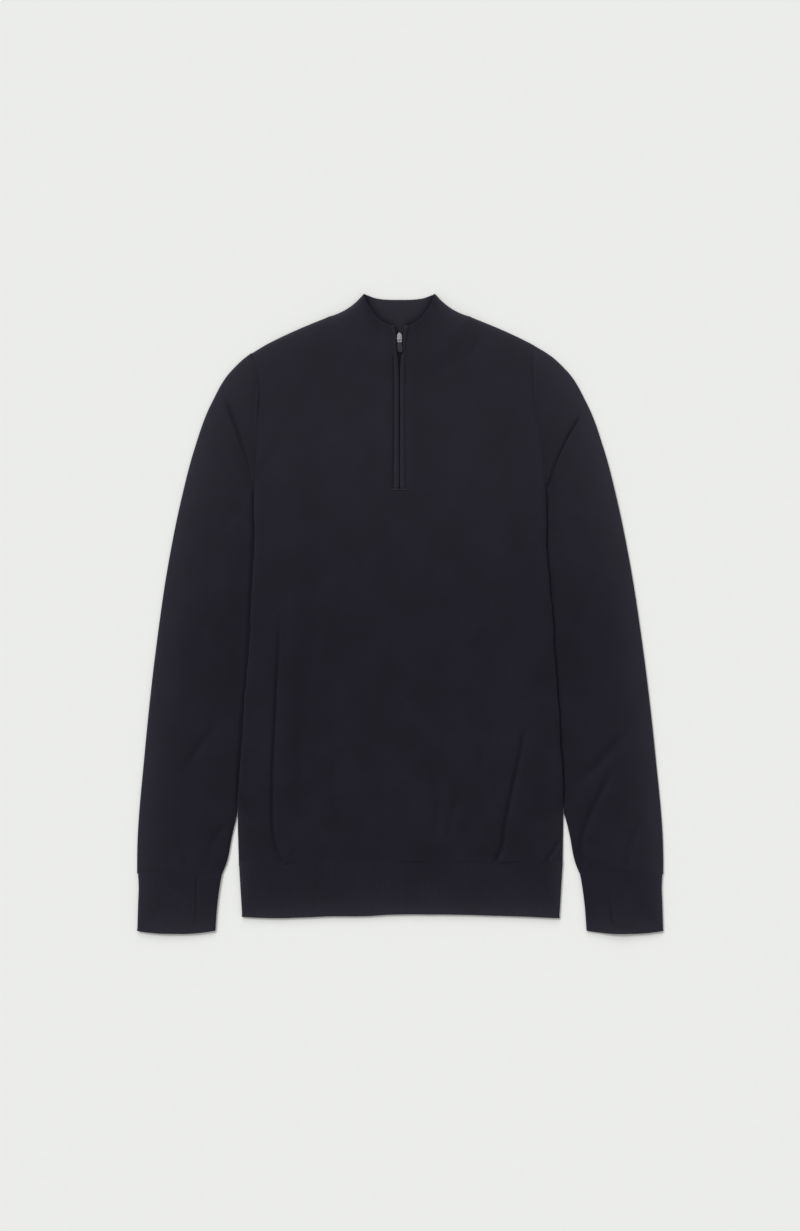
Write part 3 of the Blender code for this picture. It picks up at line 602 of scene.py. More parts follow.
def surface(
    name, points, uv, material, body="sweater",
    ring=False, cap_ends=False, flip=False, skip=None, wall=0.0, painted_light=None,
):
    """A smooth piece on rows by columns of points. uv is in millimetres. ring joins the last column to the
    first, skip is a mask of quads to leave out, wall thickens the sheet inwards, and painted_light is the
    share of painted light and sheen in the knit's colour, from 0 to 1, at each point."""
    rows, columns = points.shape[:2]
    index = np.arange(rows * columns).reshape(rows, columns)
    across = np.arange(columns if ring else columns - 1)
    r, c = np.meshgrid(np.arange(rows - 1), across, indexing="ij")
    d = (c + 1) % columns
    quads = np.stack([index[r, c], index[r, d], index[r + 1, d], index[r + 1, c]], axis=-1)
    if ring and uv.shape[1] == columns:
        uv = np.concatenate([uv, uv[:, :1]], axis=1)
    corner_uv = np.stack([uv[r, c], uv[r, c + 1], uv[r + 1, c + 1], uv[r + 1, c]], axis=-2)
    keep = np.ones(quads.shape[:2], bool) if skip is None else ~skip
    quads, corner_uv = quads[keep], corner_uv[keep]
    if flip:
        quads, corner_uv = quads[:, ::-1], corner_uv[:, ::-1]
    faces = quads.tolist()
    uvs = corner_uv.reshape(-1, 2)
    if cap_ends:
        first, last = index[0].tolist(), index[-1].tolist()
        faces += [first if flip else first[::-1], last[::-1] if flip else last]
        uvs = np.concatenate([uvs, uv[0, :columns], uv[-1, :columns]])
    used = np.unique(np.concatenate([np.array(face) for face in faces]))
    renumber = np.full(rows * columns, -1)
    renumber[used] = np.arange(len(used))
    faces = [renumber[face].tolist() for face in faces]
    mesh = bpy.data.meshes.new(name)
    mesh.from_pydata((points.reshape(-1, 3)[used] * MM).tolist(), [], faces)
    layer = mesh.uv_layers.new(name="cloth_mm")
    layer.data.foreach_set("uv", uvs.astype(np.float32).ravel())
    # Painted light: stored as a point attribute that the knit's material reads.
    if painted_light is not None:
        painted_light_tone = mesh.attributes.new("painted_light", "FLOAT", "POINT")
        painted_light = np.broadcast_to(painted_light, (rows, columns)).ravel()[used]
        painted_light_tone.data.foreach_set("value", painted_light.astype(np.float32))
    mesh.polygons.foreach_set("use_smooth", np.ones(len(mesh.polygons), bool))
    mesh.update()
    return piece(name, mesh, material, body, wall)


def piece(name, mesh, material, body="sweater", wall=0.0):
    mesh.materials.append(material)
    made = bpy.data.objects.new(name, mesh)
    bpy.context.scene.collection.objects.link(made)
    if wall:
        thicken = made.modifiers.new("wall", "SOLIDIFY")
        thicken.thickness = wall * MM
        thicken.offset = -1
    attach(made, body)
    return made


def uv_by_height(across, points):
    """A UV map of the distances across the cloth and the height of each point."""
    return np.stack([across[None].repeat(len(points), 0), points[:, :, 1]], axis=-1)


def mirrored(points):
    return points * np.array([-1, 1, 1])


def rounding(radius, count):
    """Distances inside a round edge, from far to near, and the share of the height that is left there."""
    turn = np.linspace(np.pi / 2, 0, count)
    return radius * (1 - np.cos(turn)), np.sin(turn)


def round_ended(start, end, radius, count, flat_part):
    """Places across a layer with round edges, and the share of the height that is left at each."""
    rolled, rise = rounding(radius, count)
    places = np.concatenate([start + rolled[::-1][:-1], flat_part, end - rolled[1:]])
    return places, np.concatenate([rise[::-1][:-1], np.ones(len(flat_part)), rise[1:]])


def upper_and_lower(upper, rise, lower):
    """The places all round a flat tube, whether each is above (1) or below (-1), and the share of the height
    that its round folds leave."""
    along = np.concatenate([upper, lower])
    above = np.concatenate([np.ones(len(upper)), -np.ones(len(lower))])
    return along, above, np.concatenate([rise, np.ones(len(lower))])


# --- body ---


def edge_wander(y, side):
    """How unevenly the cloth rolls along the body's sides."""
    turn = y / 9.0 + (1.0 if side == "left" else 2.6)
    wave = 0.45 * np.sin(turn * 0.53) + 0.3 * np.sin(turn) + 0.2 * np.sin(turn * 1.9 + 1)
    return wave * ease(y, UNDERARM_Y, UNDERARM_Y - 30) * ease(y, *SLEEVE_OUT_Y)


def free_side(y):
    """The share by which the body's side is a free fold there: 0 where the sleeve is sewn to it."""
    return ease(y, UNDERARM_Y + 16, UNDERARM_Y - 5)


def half_columns(side):
    """Shares of the half width at a panel's columns, closest where the long creases run, and how far the last
    ones are inside the side edge, in mm at the shoulder's tip."""
    tip = float(edge_of[side](SHOULDER_TIP_Y[side]))
    neck = np.linspace(ZIP_HALF, NECK_HALF, 27)
    start, end = tip * CREASED[0], tip * CREASED[1]
    flank = np.linspace(NECK_HALF, start, 9)
    creased = np.linspace(start, end, 44)
    outer = np.linspace(end, tip - SIDE_ROUND, 11)
    inside, _ = rounding(SIDE_ROUND, 9)
    return np.concatenate([neck, flank[1:], creased[1:], outer[1:]]) / tip, inside[1:]


def body_panel(side, neck_y, spacing):
    """Points of one half of a body panel, from the middle out and from the hem up: their places, the rise of
    their round edges, and their distances from the side and from the shoulder."""
    shares, rolled = half_columns(side)
    tip_y = SHOULDER_TIP_Y[side]
    tip = float(edge_of[side](tip_y))
    top_x = np.concatenate([shares * tip, tip - rolled])
    top_y = np.where(top_x < NECK_HALF + 0.01, neck_y(top_x), shoulder_y(top_x))
    end_inside, end_rise = rounding(SHOULDER_ROUND, 7)
    low = np.linspace(HEM_TOP_Y + 2, ZIP_END_Y, int((ZIP_END_Y - HEM_TOP_Y) / spacing))
    high = np.linspace(0, 1, int((SHOULDER_TIP_Y["right"] - ZIP_END_Y) / spacing))[1:]

    def columns(y):
        edge = edge_of[side](y) + edge_wander(y, side)
        body = shares * (edge - SIDE_ROUND) * tip / (tip - SIDE_ROUND)
        return np.concatenate([body, edge - rolled])

    lines = [(columns(y), np.full(len(top_x), y), 1.0) for y in low]
    for share in high:
        x = columns(ZIP_END_Y + share * (tip_y - ZIP_END_Y))
        lines.append((x, ZIP_END_Y + share * (top_y - end_inside[0] - ZIP_END_Y), 1.0))
    for inside, rise in zip(end_inside[1:], end_rise[1:]):
        lines.append((columns(tip_y - inside), top_y - inside, rise))
    x = np.array([line[0] for line in lines])
    y = np.array([line[1] for line in lines])
    top_rise = np.array([np.full(len(top_x), line[2]) for line in lines])
    inside = edge_of[side](y) + edge_wander(y, side) - x
    free = free_side(y)
    at_side = 1 - free * (1 - at_end(np.clip(inside / SIDE_ROUND, 0, 1)))
    at_top = 1 - ease(x, NECK_HALF - 1, NECK_HALF + 4) * (1 - top_rise)
    from_corner = np.hypot(x - NECK_HALF, y - SHOULDER[0].y)
    at_corner = 0.5 + 0.5 * at_end(np.clip(from_corner / CORNER_ROUND, 0, 1))
    from_top = np.where(x < NECK_HALF, from_corner, top_y - y)
    return x, y, np.minimum(np.minimum(at_side, at_top), at_corner), free, inside, from_top


def outline_distance(y, inside, from_top):
    """How far a place on a body panel is inside the sweater's outline."""
    beside_sleeve = 80 * ease(y, *SLEEVE_OUT_Y)
    return np.minimum(from_top, inside + beside_sleeve)


def armhole_groove(y, side):
    """The seam's groove, which is plain at the top of the armhole and is lost lower down."""
    groove = ARMHOLE_GROOVE[side]
    return 0.05 + groove.depth * ease(y, *ARMHOLE_FADE_Y) * ease(y, groove.top_y, groove.top_y - 14)


def front_points(side):
    """Points and painted light of one half of the front, from the middle out and from the hem up."""
    x, y, rise, free, inside, from_top = body_panel(side, neck_front_y, FRONT_SPACING)
    top = front_height(x, y, side)
    calm = ease(x, 10, 34) + ease(y, 135, 110)
    calm = np.clip(calm, 0, 1) * ease(inside, 0, 16)
    top = top + FRONT_SWELL * swell(SIGN[side] * x, y, 3) * calm
    over_rib = RIB_FLAT + 0.1 + 0.75 * np.clip(blouse_roll(SIGN[side] * x), 0, 1)
    top = top + (over_rib - top) * ease(y, HEM_TOP_Y + 24, HEM_TOP_Y + 1)
    top = top + crease_height(SIGN[side] * x, y, BODY_CREASES)
    seam = lift(x, y, side) + 1.2
    z = seam + (top - seam) * rise
    z -= armhole_groove(y, side) * (1 - free) * hump(inside, ARMHOLE_GROOVE[side].width)
    above_zip_end = ease(y, ZIP_END_Y - 0.1, ZIP_END_Y)
    slit = above_zip_end * np.clip((SLIT_REACH - x) / (SLIT_REACH - x[:, :1]), 0, 1)
    x = x + slit * (welt_outer_x(y) + 0.1 - x[:, :1])
    z -= WELT_GROOVE * above_zip_end * hump(x - welt_outer_x(y), WELT_GROOVE_WIDTH)
    # Painted sheen along the outline, weaker below where the sleeves come out, and painted light towards the
    # collar.
    below_sleeve = ease(y, *SLEEVE_OUT_Y[::-1])
    painted_light = painted_light_of(y, outline_distance(y, inside, from_top)) * (1 - 0.6 * below_sleeve)
    return np.stack([x, y, z], axis=-1), painted_light


def rolled_end(points):
    """Rows that carry the body's lower edge over the hem rib and in under itself."""
    first = points[0]
    rows = []
    roll = blouse_roll(first[:, 0])
    rolled = ease(roll, 0.15, 0.6)
    for turn in np.radians([165, 140, 110, 80, 55, 32, 14]):
        row = first.copy()
        dive = turn / np.pi
        out = rolled * ((0.7 + roll) * np.sin(turn) + 1.2) + (1 - rolled) * 6.5 * dive
        down = rolled * (0.25 + roll) * (1 - np.cos(turn)) + (1 - rolled) * 0.85 * dive**1.5
        row[:, 1] = first[:, 1] - out
        row[:, 2] = first[:, 2] - down
        rows.append(row)
    return np.concatenate([np.array(rows), points])


def make_front(material):
    left, left_painted_light = front_points("left")
    right, right_painted_light = front_points("right")
    left, left_painted_light = mirrored(left)[:, ::-1], left_painted_light[:, ::-1]
    middle = np.linspace(-1, 1, 9)[1:-1]
    share = ((1 + middle) / 2)[None, :, None]
    # Below the zip the halves are joined. Above its end these quads are left out, as its slit.
    gap = left[:, -1:] * (1 - share) + right[:, :1] * share
    points = np.concatenate([left, gap, right], axis=1)
    painted_light = np.concatenate([left_painted_light, np.repeat(right_painted_light[:, :1], len(middle), 1), right_painted_light], axis=1)
    start = left.shape[1] - 1
    points = rolled_end(points)
    points[:, :, 2] = np.maximum(points[:, :, 2], KNIT + 0.1)
    painted_light = np.concatenate([np.repeat(painted_light[:1], len(points) - len(painted_light), 0), painted_light])
    skip = np.zeros((len(points) - 1, points.shape[1] - 1), bool)
    skip[points[:-1, start, 1] > ZIP_END_Y - 0.3, start : start + len(middle) + 1] = True
    uv = uv_by_height(points[12, :, 0], points)
    made = surface("sweater_front", points, uv, material, skip=skip, wall=KNIT, painted_light=painted_light)
    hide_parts("front_panel")


def make_back(material):
    halves = {}
    painted_lights = {}
    for side in SIDES:
        x, y, rise, _, inside, from_top = body_panel(side, neck_back_y, BACK_SPACING)
        z = lift(x, y, side) + 1.55 * (1 - rise)
        hollow = np.maximum(-crease_height(SIGN[side] * x, y, BACK_CREASES), 0)
        hollow = hollow + np.maximum(BACK_SWELL * swell(SIGN[side] * x, y, 9), 0)
        z = z + hollow * rise * ease(inside, 0, 14) * ease(from_top, 0, 10)
        x = x - 0.3 * (1 - rise)
        halves[side] = np.stack([x, y, z], axis=-1)
        # Painted sheen along the outline and painted light towards the collar.
        painted_lights[side] = painted_light_of(y, outline_distance(y, inside, from_top))
    points = np.concatenate([mirrored(halves["left"])[:, ::-1], halves["right"]], axis=1)
    painted_light = np.concatenate([painted_lights["left"][:, ::-1], painted_lights["right"]], axis=1)
    made = surface("sweater_back", points, points[:, :, :2], material, flip=True, wall=KNIT, painted_light=painted_light)
    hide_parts("back_panel")


# --- ribs ---


def rib_wave(across):
    """One by one rib: round ridges with narrow valleys between them."""
    return RIB_RISE * (np.abs(np.cos(np.pi * across / RIB_PITCH)) ** 0.8 - 0.6)


def ragged(across):
    """How unevenly a rib's cast-off edge ends."""
    loops = 0.22 * np.abs(np.cos(np.pi * across / RIB_PITCH))
    slow = 0.5 * np.sin(across / 31.0 + 1)
    return loops + slow + 0.3 * np.sin(across / 13.0) + 0.15 * np.sin(across / 5.3 + 2)


def rib_rows(count):
    """Shares of a rib's depth at its rows, and the angle to which each has curled in at the end."""
    shares = np.concatenate([[0.0, 0.003], np.linspace(0.02, 1, count), np.ones(len(CURL_TURNS))])
    return list(zip(shares, np.radians([0] * (count + 2) + list(CURL_TURNS))))


def curled(turn, rise):
    """How far a rib's end has gone in towards its other layer at this angle."""
    return CURL * (1 - np.cos(turn)) * (0.1 + 0.9 * rise)


def make_hem(material):
    half_at = curve([HEM_END[0].y, HEM_TOP_Y], [HEM_HALF_END, HEM_HALF_TOP])
    flat_part = np.arange(-HEM_HALF_END + HEM_ROUND, HEM_HALF_END - HEM_ROUND + 0.01, RIB_PITCH / 6)
    across, rise = round_ended(-HEM_HALF_END, HEM_HALF_END, HEM_ROUND, 6, flat_part)
    end = hem_end_y(across) + 1.4 - 0.3 * ragged(across)
    top = HEM_TOP_Y + 1.5
    for name, up in (("hem_front", 1), ("hem_back", -1)):
        rows = []
        painted_lights = []
        for share, turn in rib_rows(22):
            y = top + share * (end - top)
            wave = rib_wave(across) * rise
            level = RIB_FLAT / 2 + up * (0.05 + (RIB_FLAT / 2 - 0.05) * rise)
            if up > 0:
                uneven = HEM_SWELL * swell(across, y, 5) * rise * np.sin(np.pi * share)
                drawn = crease_height(across, y, BODY_CREASES) * ease(share, 0.35, 0.0) * rise
                level = level + wave * ease(share, 0, 0.05) + uneven + drawn
            else:
                level = level + 0.3 * (wave + RIB_RISE * 0.6)
            x = HEM_SHIFT + across / HEM_HALF_END * half_at(y)
            z = level - up * curled(turn, rise)
            rows.append(np.stack([x, y - CURL * np.sin(turn), z], axis=-1))
            # Painted sheen along the cast-off edge and the ends.
            painted_lights.append(painted_light_of(y, np.minimum(y - end, 2 * (HEM_HALF_END - np.abs(across))), 15.0))
        points = np.array(rows)
        uv = uv_by_height(across, points)
        made = surface(name, points, uv, material, flip=up > 0, wall=RIB, painted_light=np.array(painted_lights))
        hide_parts(f"hem_rib_{name[4:]}")


def make_cuff(side, material):
    inner = of_table(CUFF, "y", "inner")
    outer = of_table(CUFF, "y", "outer")
    width = CUFF_WIDTH
    flat_part = np.arange(CUFF_ROUND, width - CUFF_ROUND + 0.01, RIB_PITCH / 6)
    upper, upper_rise = round_ended(0, width, CUFF_ROUND, 6, flat_part)
    along, above, rises = upper_and_lower(upper, upper_rise, np.linspace(width - 1.0, 1.0, 80))
    top, end = CUFF_TOP_Y + 1.5, CUFF_END_Y
    corner = -3.6 * np.abs(2 * along / width - 1) ** 2.4 + 0.4 * ragged(along + 40) - 0.3
    painted_light_reach = {"left": 25.0, "right": 19.0}[side]
    rows = []
    painted_lights = []
    for share, turn in rib_rows(24):
        y = top + share * (end - corner * share - top)
        far = outer(y) + OUTER_SHIFT[side][1]
        x = far - along / width * (far - inner(y) - INNER_SHIFT[side][1])
        wave = rib_wave(along) * rises * ease(share, 0, 0.1)
        puff = CUFF_PUFF * np.sin(np.pi * along / width)
        folds = crease_height(x, y, CUFF_CREASES[side]) + CUFF_SWELL * swell(SIGN[side] * x, y, 11)
        high = RIB_FLAT / 2 * (1 + rises) + wave + (puff + folds) * rises
        low = 0.3 * (rib_wave(along) + RIB_RISE * 0.6)
        z = np.where(above > 0, high, low)
        z = z - above * curled(turn, rises)
        rows.append(np.stack([x, y - CURL * np.sin(turn), z], axis=-1))
        # Painted sheen along the cuff's end and outer fold.
        painted_lights.append(painted_light_of(y + 60, np.minimum(y - end, 1.4 * along), painted_light_reach))
    points = np.array(rows)
    around = np.concatenate([along[: len(upper)], 2 * width - along[len(upper) :]])
    uv = uv_by_height(around, points)
    left = side == "left"
    points = mirrored(points) if left else points
    painted_light = np.array(painted_lights)
    made = surface(f"wrist_{side}", points, uv, material, ring=True, flip=left, wall=RIB, painted_light=painted_light)
    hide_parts(f"cuff_{side}")


# --- sleeves ---


def outer_fold_x(y, side):
    high, low = OUTER_SHIFT[side]
    return sleeve_outer_x(y) + high + (low - high) * ease(y, 120, -300)


def inner_fold_x(y, side):
    inwards = np.sin(np.pi * np.clip((TUCK_HIGH_Y - y) / (TUCK_HIGH_Y - TUCK_LOW_Y), 0, 1))
    covered = COVERED * ease(y, *COVERED_FROM_Y) * (1 - ease(y, *COVERED_TO_Y))
    beside = edge_of[side](y) + 0.5 - covered - (TUCK + 0.5) * inwards
    low = SLEEVE_INNER[0].y
    high, far = INNER_SHIFT[side]
    shift = high + (far - high) * ease(y, low, low - 12)
    return np.where(y < low, sleeve_inner_x(y) + shift, beside)


def ring_values(rings, side, count):
    """The values of count rings spread over these rings."""
    at = np.arange(len(rings), dtype=float)
    fine = (len(rings) - 1) * np.linspace(0, 1, count)
    names = {"outer_y": f"{side}_outer"} | {name: name for name in ("inner_y", "bow", "seat", "follow")}
    return {key: curve(at, [getattr(ring, name) for ring in rings])(fine) for key, name in names.items()}


def even_rings(values, side, spacing):
    """Respaces rings so that they are evenly spread along the outer fold."""
    along = run(np.stack([outer_fold_x(values["outer_y"], side), values["outer_y"]], axis=-1))
    place = np.linspace(0, along[-1], int(along[-1] / spacing) + 1)
    return {key: np.interp(place, along, value) for key, value in values.items()}


def around_arm(length):
    """The places round a sleeve's ring from its outer fold, with what upper_and_lower gives for each."""
    flat_part = ARM_ROUND + np.linspace(0, 1, 52) * (length - 2 * ARM_ROUND)
    upper, rise = round_ended(0, length, ARM_ROUND, 9, flat_part)
    return upper_and_lower(upper, rise, np.linspace(length - 1.6, 1.6, 22))


def bow(side, ring, share):
    """How far a sleeve's ring bows inwards at this share of the way to its inner fold."""
    return BOW[side] * ring["bow"] * np.sin(np.pi * share**0.8)


def cap_ring(number, ring, side, x, y, share, calm):
    """A ring over the sleeve's cap, which is sewn to the body and lies level with it: places and heights."""
    edge = edge_of[side](y)
    seam = SEAM_RINGS[number] if number < len(SEAM_RINGS) else None
    follow = ease(share, 0, 0.07) if seam else ring["follow"] * ease(share, 0, 0.4)
    out = seam.out if seam else 0.8
    x = x + follow * (edge + out - x) - bow(side, ring, share)
    on_body = np.minimum(x, edge)
    uneven = CAP_SWELL * swell(SIGN[side] * x, y, 23) * ease(x, edge, edge + 16) * calm
    top = front_height(on_body, y, side) + uneven
    if seam:
        top = top - seam.groove * armhole_groove(y, side)
    if side == "left":
        second = SECOND_CREASE.depth * hump(x - (edge + SECOND_CREASE_OUT), SECOND_CREASE.width)
        top = top - second * ease(y, 214, 236) * ease(y, SECOND_CREASE.top_y, 268)
    free = free_side(y)
    if seam:
        top = top - (top - lift(on_body, y, side) - 0.8) * free
    else:
        top = top + (FLAT - 1.5 - top) * ease(x, edge + 3.0, edge - 0.5) * free
    low = lift(on_body, y, side) * ring["seat"]
    return x, top, low


def make_sleeve(side, material):
    cap = even_rings(ring_values(CAP_RINGS, side, 60), side, CAP_SPACING)
    arm = even_rings(ring_values(ARM_RINGS, side, 400), side, ARM_SPACING)
    kinds = [("cap", i, 0.0) for i in range(len(cap["outer_y"]))]
    kinds += [("roll", -1, turn) for turn in np.radians([12, 28, 46, 64, 84, 104, 124])]
    kinds += [("arm", i, 0.0) for i in range(len(arm["outer_y"]))]
    rows = []
    uvs = []
    painted_lights = []
    for number, (kind, i, turn) in enumerate(kinds):
        source = arm if kind == "arm" else cap
        ring = {key: float(value[i]) for key, value in source.items()}
        outer = np.array([float(outer_fold_x(ring["outer_y"], side)), ring["outer_y"]])
        inner = np.array([float(inner_fold_x(ring["inner_y"], side)), ring["inner_y"]])
        length = np.hypot(*(inner - outer))
        along, above, rises = around_arm(length)
        share = along / length
        x, y = (outer + (inner - outer) * share[:, None]).T
        edge = edge_of[side](y)
        arm_top = FLAT + SLEEVE_PUFF * np.sin(np.pi * share)
        above_fold = (len(cap["outer_y"]) - 1 - i) * CAP_SPACING
        from_fold = {"cap": above_fold, "roll": 0.0, "arm": i * ARM_SPACING}[kind]
        calm = ease(from_fold, 0, CALM_REACH)
        if kind == "arm":
            x = x - bow(side, ring, share)
            folds = crease_height(x, y, ARM_CREASES[side]) + ARM_SWELL * swell(SIGN[side] * x, y, 21) * calm
            pressed = PRESSED[side].depth * hump(x - edge - 0.4, PRESSED[side].width)
            pressed = pressed * ease(y, *PRESSED_FROM_Y) * ease(y, *PRESSED_TO_Y)
            beside_fold = 1.1 * hump(from_fold, 4.5) * ease(share, 0.1, 0.2)
            top = arm_top + folds * ease(x, edge + 1, edge + 12) - pressed - beside_fold
            low = np.zeros(len(x))
        else:
            x, top, low = cap_ring(number, ring, side, x, y, share, calm)
            # Towards the fold under the arm, the cap comes down to the sleeve's own height.
            level = 0.55 + 0.45 * ease(share, 0.22, 0.08)
            reach = 8.0 + 14 * (level - 0.55)
            top = top - level * (top - arm_top) * hump(from_fold, reach)
        if kind == "roll":
            radius = np.maximum((top - arm_top + 0.9) / 2, 0.02) * ease(share, 0.1, 0.2)
            normal = np.array([inner[1] - outer[1], outer[0] - inner[0]]) / length
            normal = normal * (1 if normal[1] < 0 else -1)
            out = 1.2 * radius * np.sin(turn) + 0.6 * turn * (radius > 0.03)
            out = np.where(above > 0, out, 0.3 * turn)
            x = x + normal[0] * out
            y = y + normal[1] * out
            top = top - radius * (1 - np.cos(turn))
            low = low * (1 - turn / np.pi)
        top = np.maximum(top, low + 1.1)
        middle = np.minimum(low + FLAT / 2, top)
        z = np.where(above > 0, middle + (top - middle) * rises, low)
        rows.append(np.stack([x, y, z], axis=-1))
        around = np.where(above > 0, along, 2 * length - along)
        uvs.append(np.stack([around, np.full(len(around), number * ARM_SPACING)], axis=-1))
        # Painted light: a painted sheen towards the outer fold, and painted shade in a band along the fold
        # under the arm.
        painted_fold_shade = 0.3 * hump(from_fold, 3.0) * ease(share, 0.08, 0.2)
        painted_lights.append(np.maximum(painted_light_of(y, along, 20.0) - painted_fold_shade, 0))
    points = np.array(rows)
    end = rolled_cuff_end(points)
    points = np.concatenate([points, end])
    uv = np.array(uvs + [uvs[-1]] * len(end))
    painted_light = np.array(painted_lights + [painted_lights[-1]] * len(end))
    left = side == "left"
    points = mirrored(points) if left else points
    made = surface(
        f"arm_{side}", points, uv, material, ring=True, flip=left, wall=SLEEVE_WALL, painted_light=painted_light
    )
    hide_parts(f"sleeve_{side}")


def rolled_cuff_end(points):
    """Rows that carry the sleeve's end over the cuff and in under itself."""
    last = points[-1]
    rows = []
    upper = ease(last[:, 2], 1.2, 3.2)
    for turn in np.radians([30, 60, 95, 130]):
        row = last.copy()
        row[:, 1] -= 1.3 * upper * np.sin(turn) + 0.2 * (1 - upper) * turn
        row[:, 2] -= 0.45 * upper * (1 - np.cos(turn))
        rows.append(row)
    return np.array(rows)


# --- collar ---


def collar_line(base_y, top_line, shares, start_x):
    """Base and top points at these shares along one side of the collar, from the middle to the fold."""
    fine = np.linspace(start_x, NECK_HALF, 200)
    line = np.stack([fine, base_y(fine)], axis=-1)
    length = run(line)
    place = shares * length[-1]
    base = np.stack([np.interp(place, length, line[:, 0]), np.interp(place, length, line[:, 1])], axis=-1)
    return base, path(top_line, shares), length[-1]


def collar_half(rise, depth):
    """The right half of a line round the collar at this share of its height, moved in from the face by
    depth: its points, their distances along it and their painted light."""
    front_count, back_count = 230, 190
    shares = np.linspace(0, 1, front_count)
    base, top, front_length = collar_line(neck_front_y, COLLAR_TOP_FRONT, shares, ZIP_HALF)
    front = base + (top - base) * rise
    back_shares = np.linspace(1, 0, back_count)
    back_base, back_top, back_length = collar_line(neck_back_y, COLLAR_TOP_BACK, back_shares, 0.0)
    back = back_base + (back_top - back_base) * rise
    step = top[-1] - base[-1]
    across = np.array([step[1], -step[0]]) / np.hypot(*step)
    hollow = COLLAR_HOLLOW * 4 * rise * (1 - rise)
    front = front - (hollow * shares**3)[:, None] * across
    back = back - (hollow * back_shares**3)[:, None] * across
    near_zip = np.clip(1 - shares / 0.2, 0, 1)
    front[:, 0] += near_zip * (welt_outer_x(front[:, 1]) + 0.15 - front[0, 0])
    fold = front[-1]
    half = COLLAR_FLAT / 2
    height = front_height(base[:, 0], base[:, 1], "right")
    round_off = at_end(np.clip(np.hypot(*(front - fold).T) / COLLAR_ROUND_FRONT, 0, 1))
    front_z = half + (height - half) * round_off
    back_off = at_end(np.clip(np.hypot(*(back - fold).T) / COLLAR_ROUND_BACK, 0, 1))
    back_z = half - half * back_off
    along = np.concatenate([shares * front_length, front_length + (1 - back_shares) * back_length])
    wave = rib_wave(along)
    front_wave = wave[:front_count] * ease(rise, 0.0, 0.2) * 0.55
    back_wave = (0.18 - wave[front_count:]) * (depth < 1) * 0.4
    x = np.concatenate([front[:, 0], back[:, 0]])
    y = np.concatenate([front[:, 1], back[:, 1]])
    z = np.concatenate([front_z - depth + front_wave, back_z + depth + back_wave])
    plain = ease(back[:, 1], 336, 348) * 0.5 + ease(back[:, 0], 10, 26) * 0.45
    z[front_count:] += wave[front_count:] * (depth > 1) * (1.4 - plain)
    x = x - depth * np.concatenate([1 - round_off, 1 - back_off])
    keep = np.ones(len(x), bool)
    keep[front_count] = False
    opening = path(COLLAR_TOP_FRONT, np.linspace(0, 1, 80))
    beside = np.hypot(x[:, None] - opening[None, :, 0], y[:, None] - opening[None, :, 1]).min(axis=1)
    folded = np.concatenate([(1 - shares) * 70, (1 - back_shares) * 70])
    below_top = np.minimum(folded, 60 * (1 - rise) + 8)
    painted_light = painted_light_of(y, np.where(np.arange(len(x)) < front_count, folded, below_top))
    # Painted shade: inside the collar the cloth is lighter, but painted shade darkens it within about 11 mm
    # of the opening, where the front's edge shades it. Outside, the painted light fades to about half within
    # 14 mm of the opening.
    if depth > 1.3:
        painted_light = (painted_light + 0.34) * ease(beside, -1, 11)
    else:
        painted_light = painted_light * (0.55 + 0.45 * ease(beside, 0, 14))
    return np.stack([x, y, z], axis=-1)[keep], along[keep], painted_light[keep]


def make_collar(material):
    """A closed band: up its outside, over its folded top edge and down its inside."""
    profile = [(-0.03, 0.5), (-0.005, 0.12), (0.015, 0.0)]
    profile += [(rise, 0.0) for rise in np.linspace(0.05, 0.965, 22)]
    profile += [(0.985, 0.25), (0.997, 0.7), (1.0, 1.2), (0.997, 1.7), (0.985, 2.15)]
    profile += [(rise, COLLAR_WALL) for rise in np.linspace(0.965, 0.0, 22)]
    rows = []
    uvs = []
    painted_lights = []
    for number, (rise, depth) in enumerate(profile):
        right, along, painted_light = collar_half(rise, depth)
        rows.append(np.concatenate([right, mirrored(right)[-2::-1]]))
        lengths = np.concatenate([along, 2 * along[-1] - along[-2::-1]])
        uvs.append(np.stack([lengths, np.full(len(lengths), number * 1.8)], axis=-1))
        painted_lights.append(np.concatenate([painted_light, painted_light[-2::-1]]))
    points = np.array(rows).transpose(1, 0, 2)
    uv = np.array(uvs).transpose(1, 0, 2)
    made = surface(
        "neck_band", points, uv, material, ring=True, cap_ends=True, flip=True, painted_light=np.array(painted_lights).T
    )
    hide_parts("collar")


# --- zip ---


def strip(name, side, rows_y, section_of, material, painted_light=None):
    """A bar along the zip with this section at each height."""
    rings = np.array([section_of(y) for y in rows_y])
    uv = uv_by_height(run(rings[0][:, [0, 2]]), rings)
    left = side == "left"
    rings = mirrored(rings) if left else rings
    return surface(name, rings, uv, material, ring=True, cap_ends=True, flip=left, painted_light=painted_light)


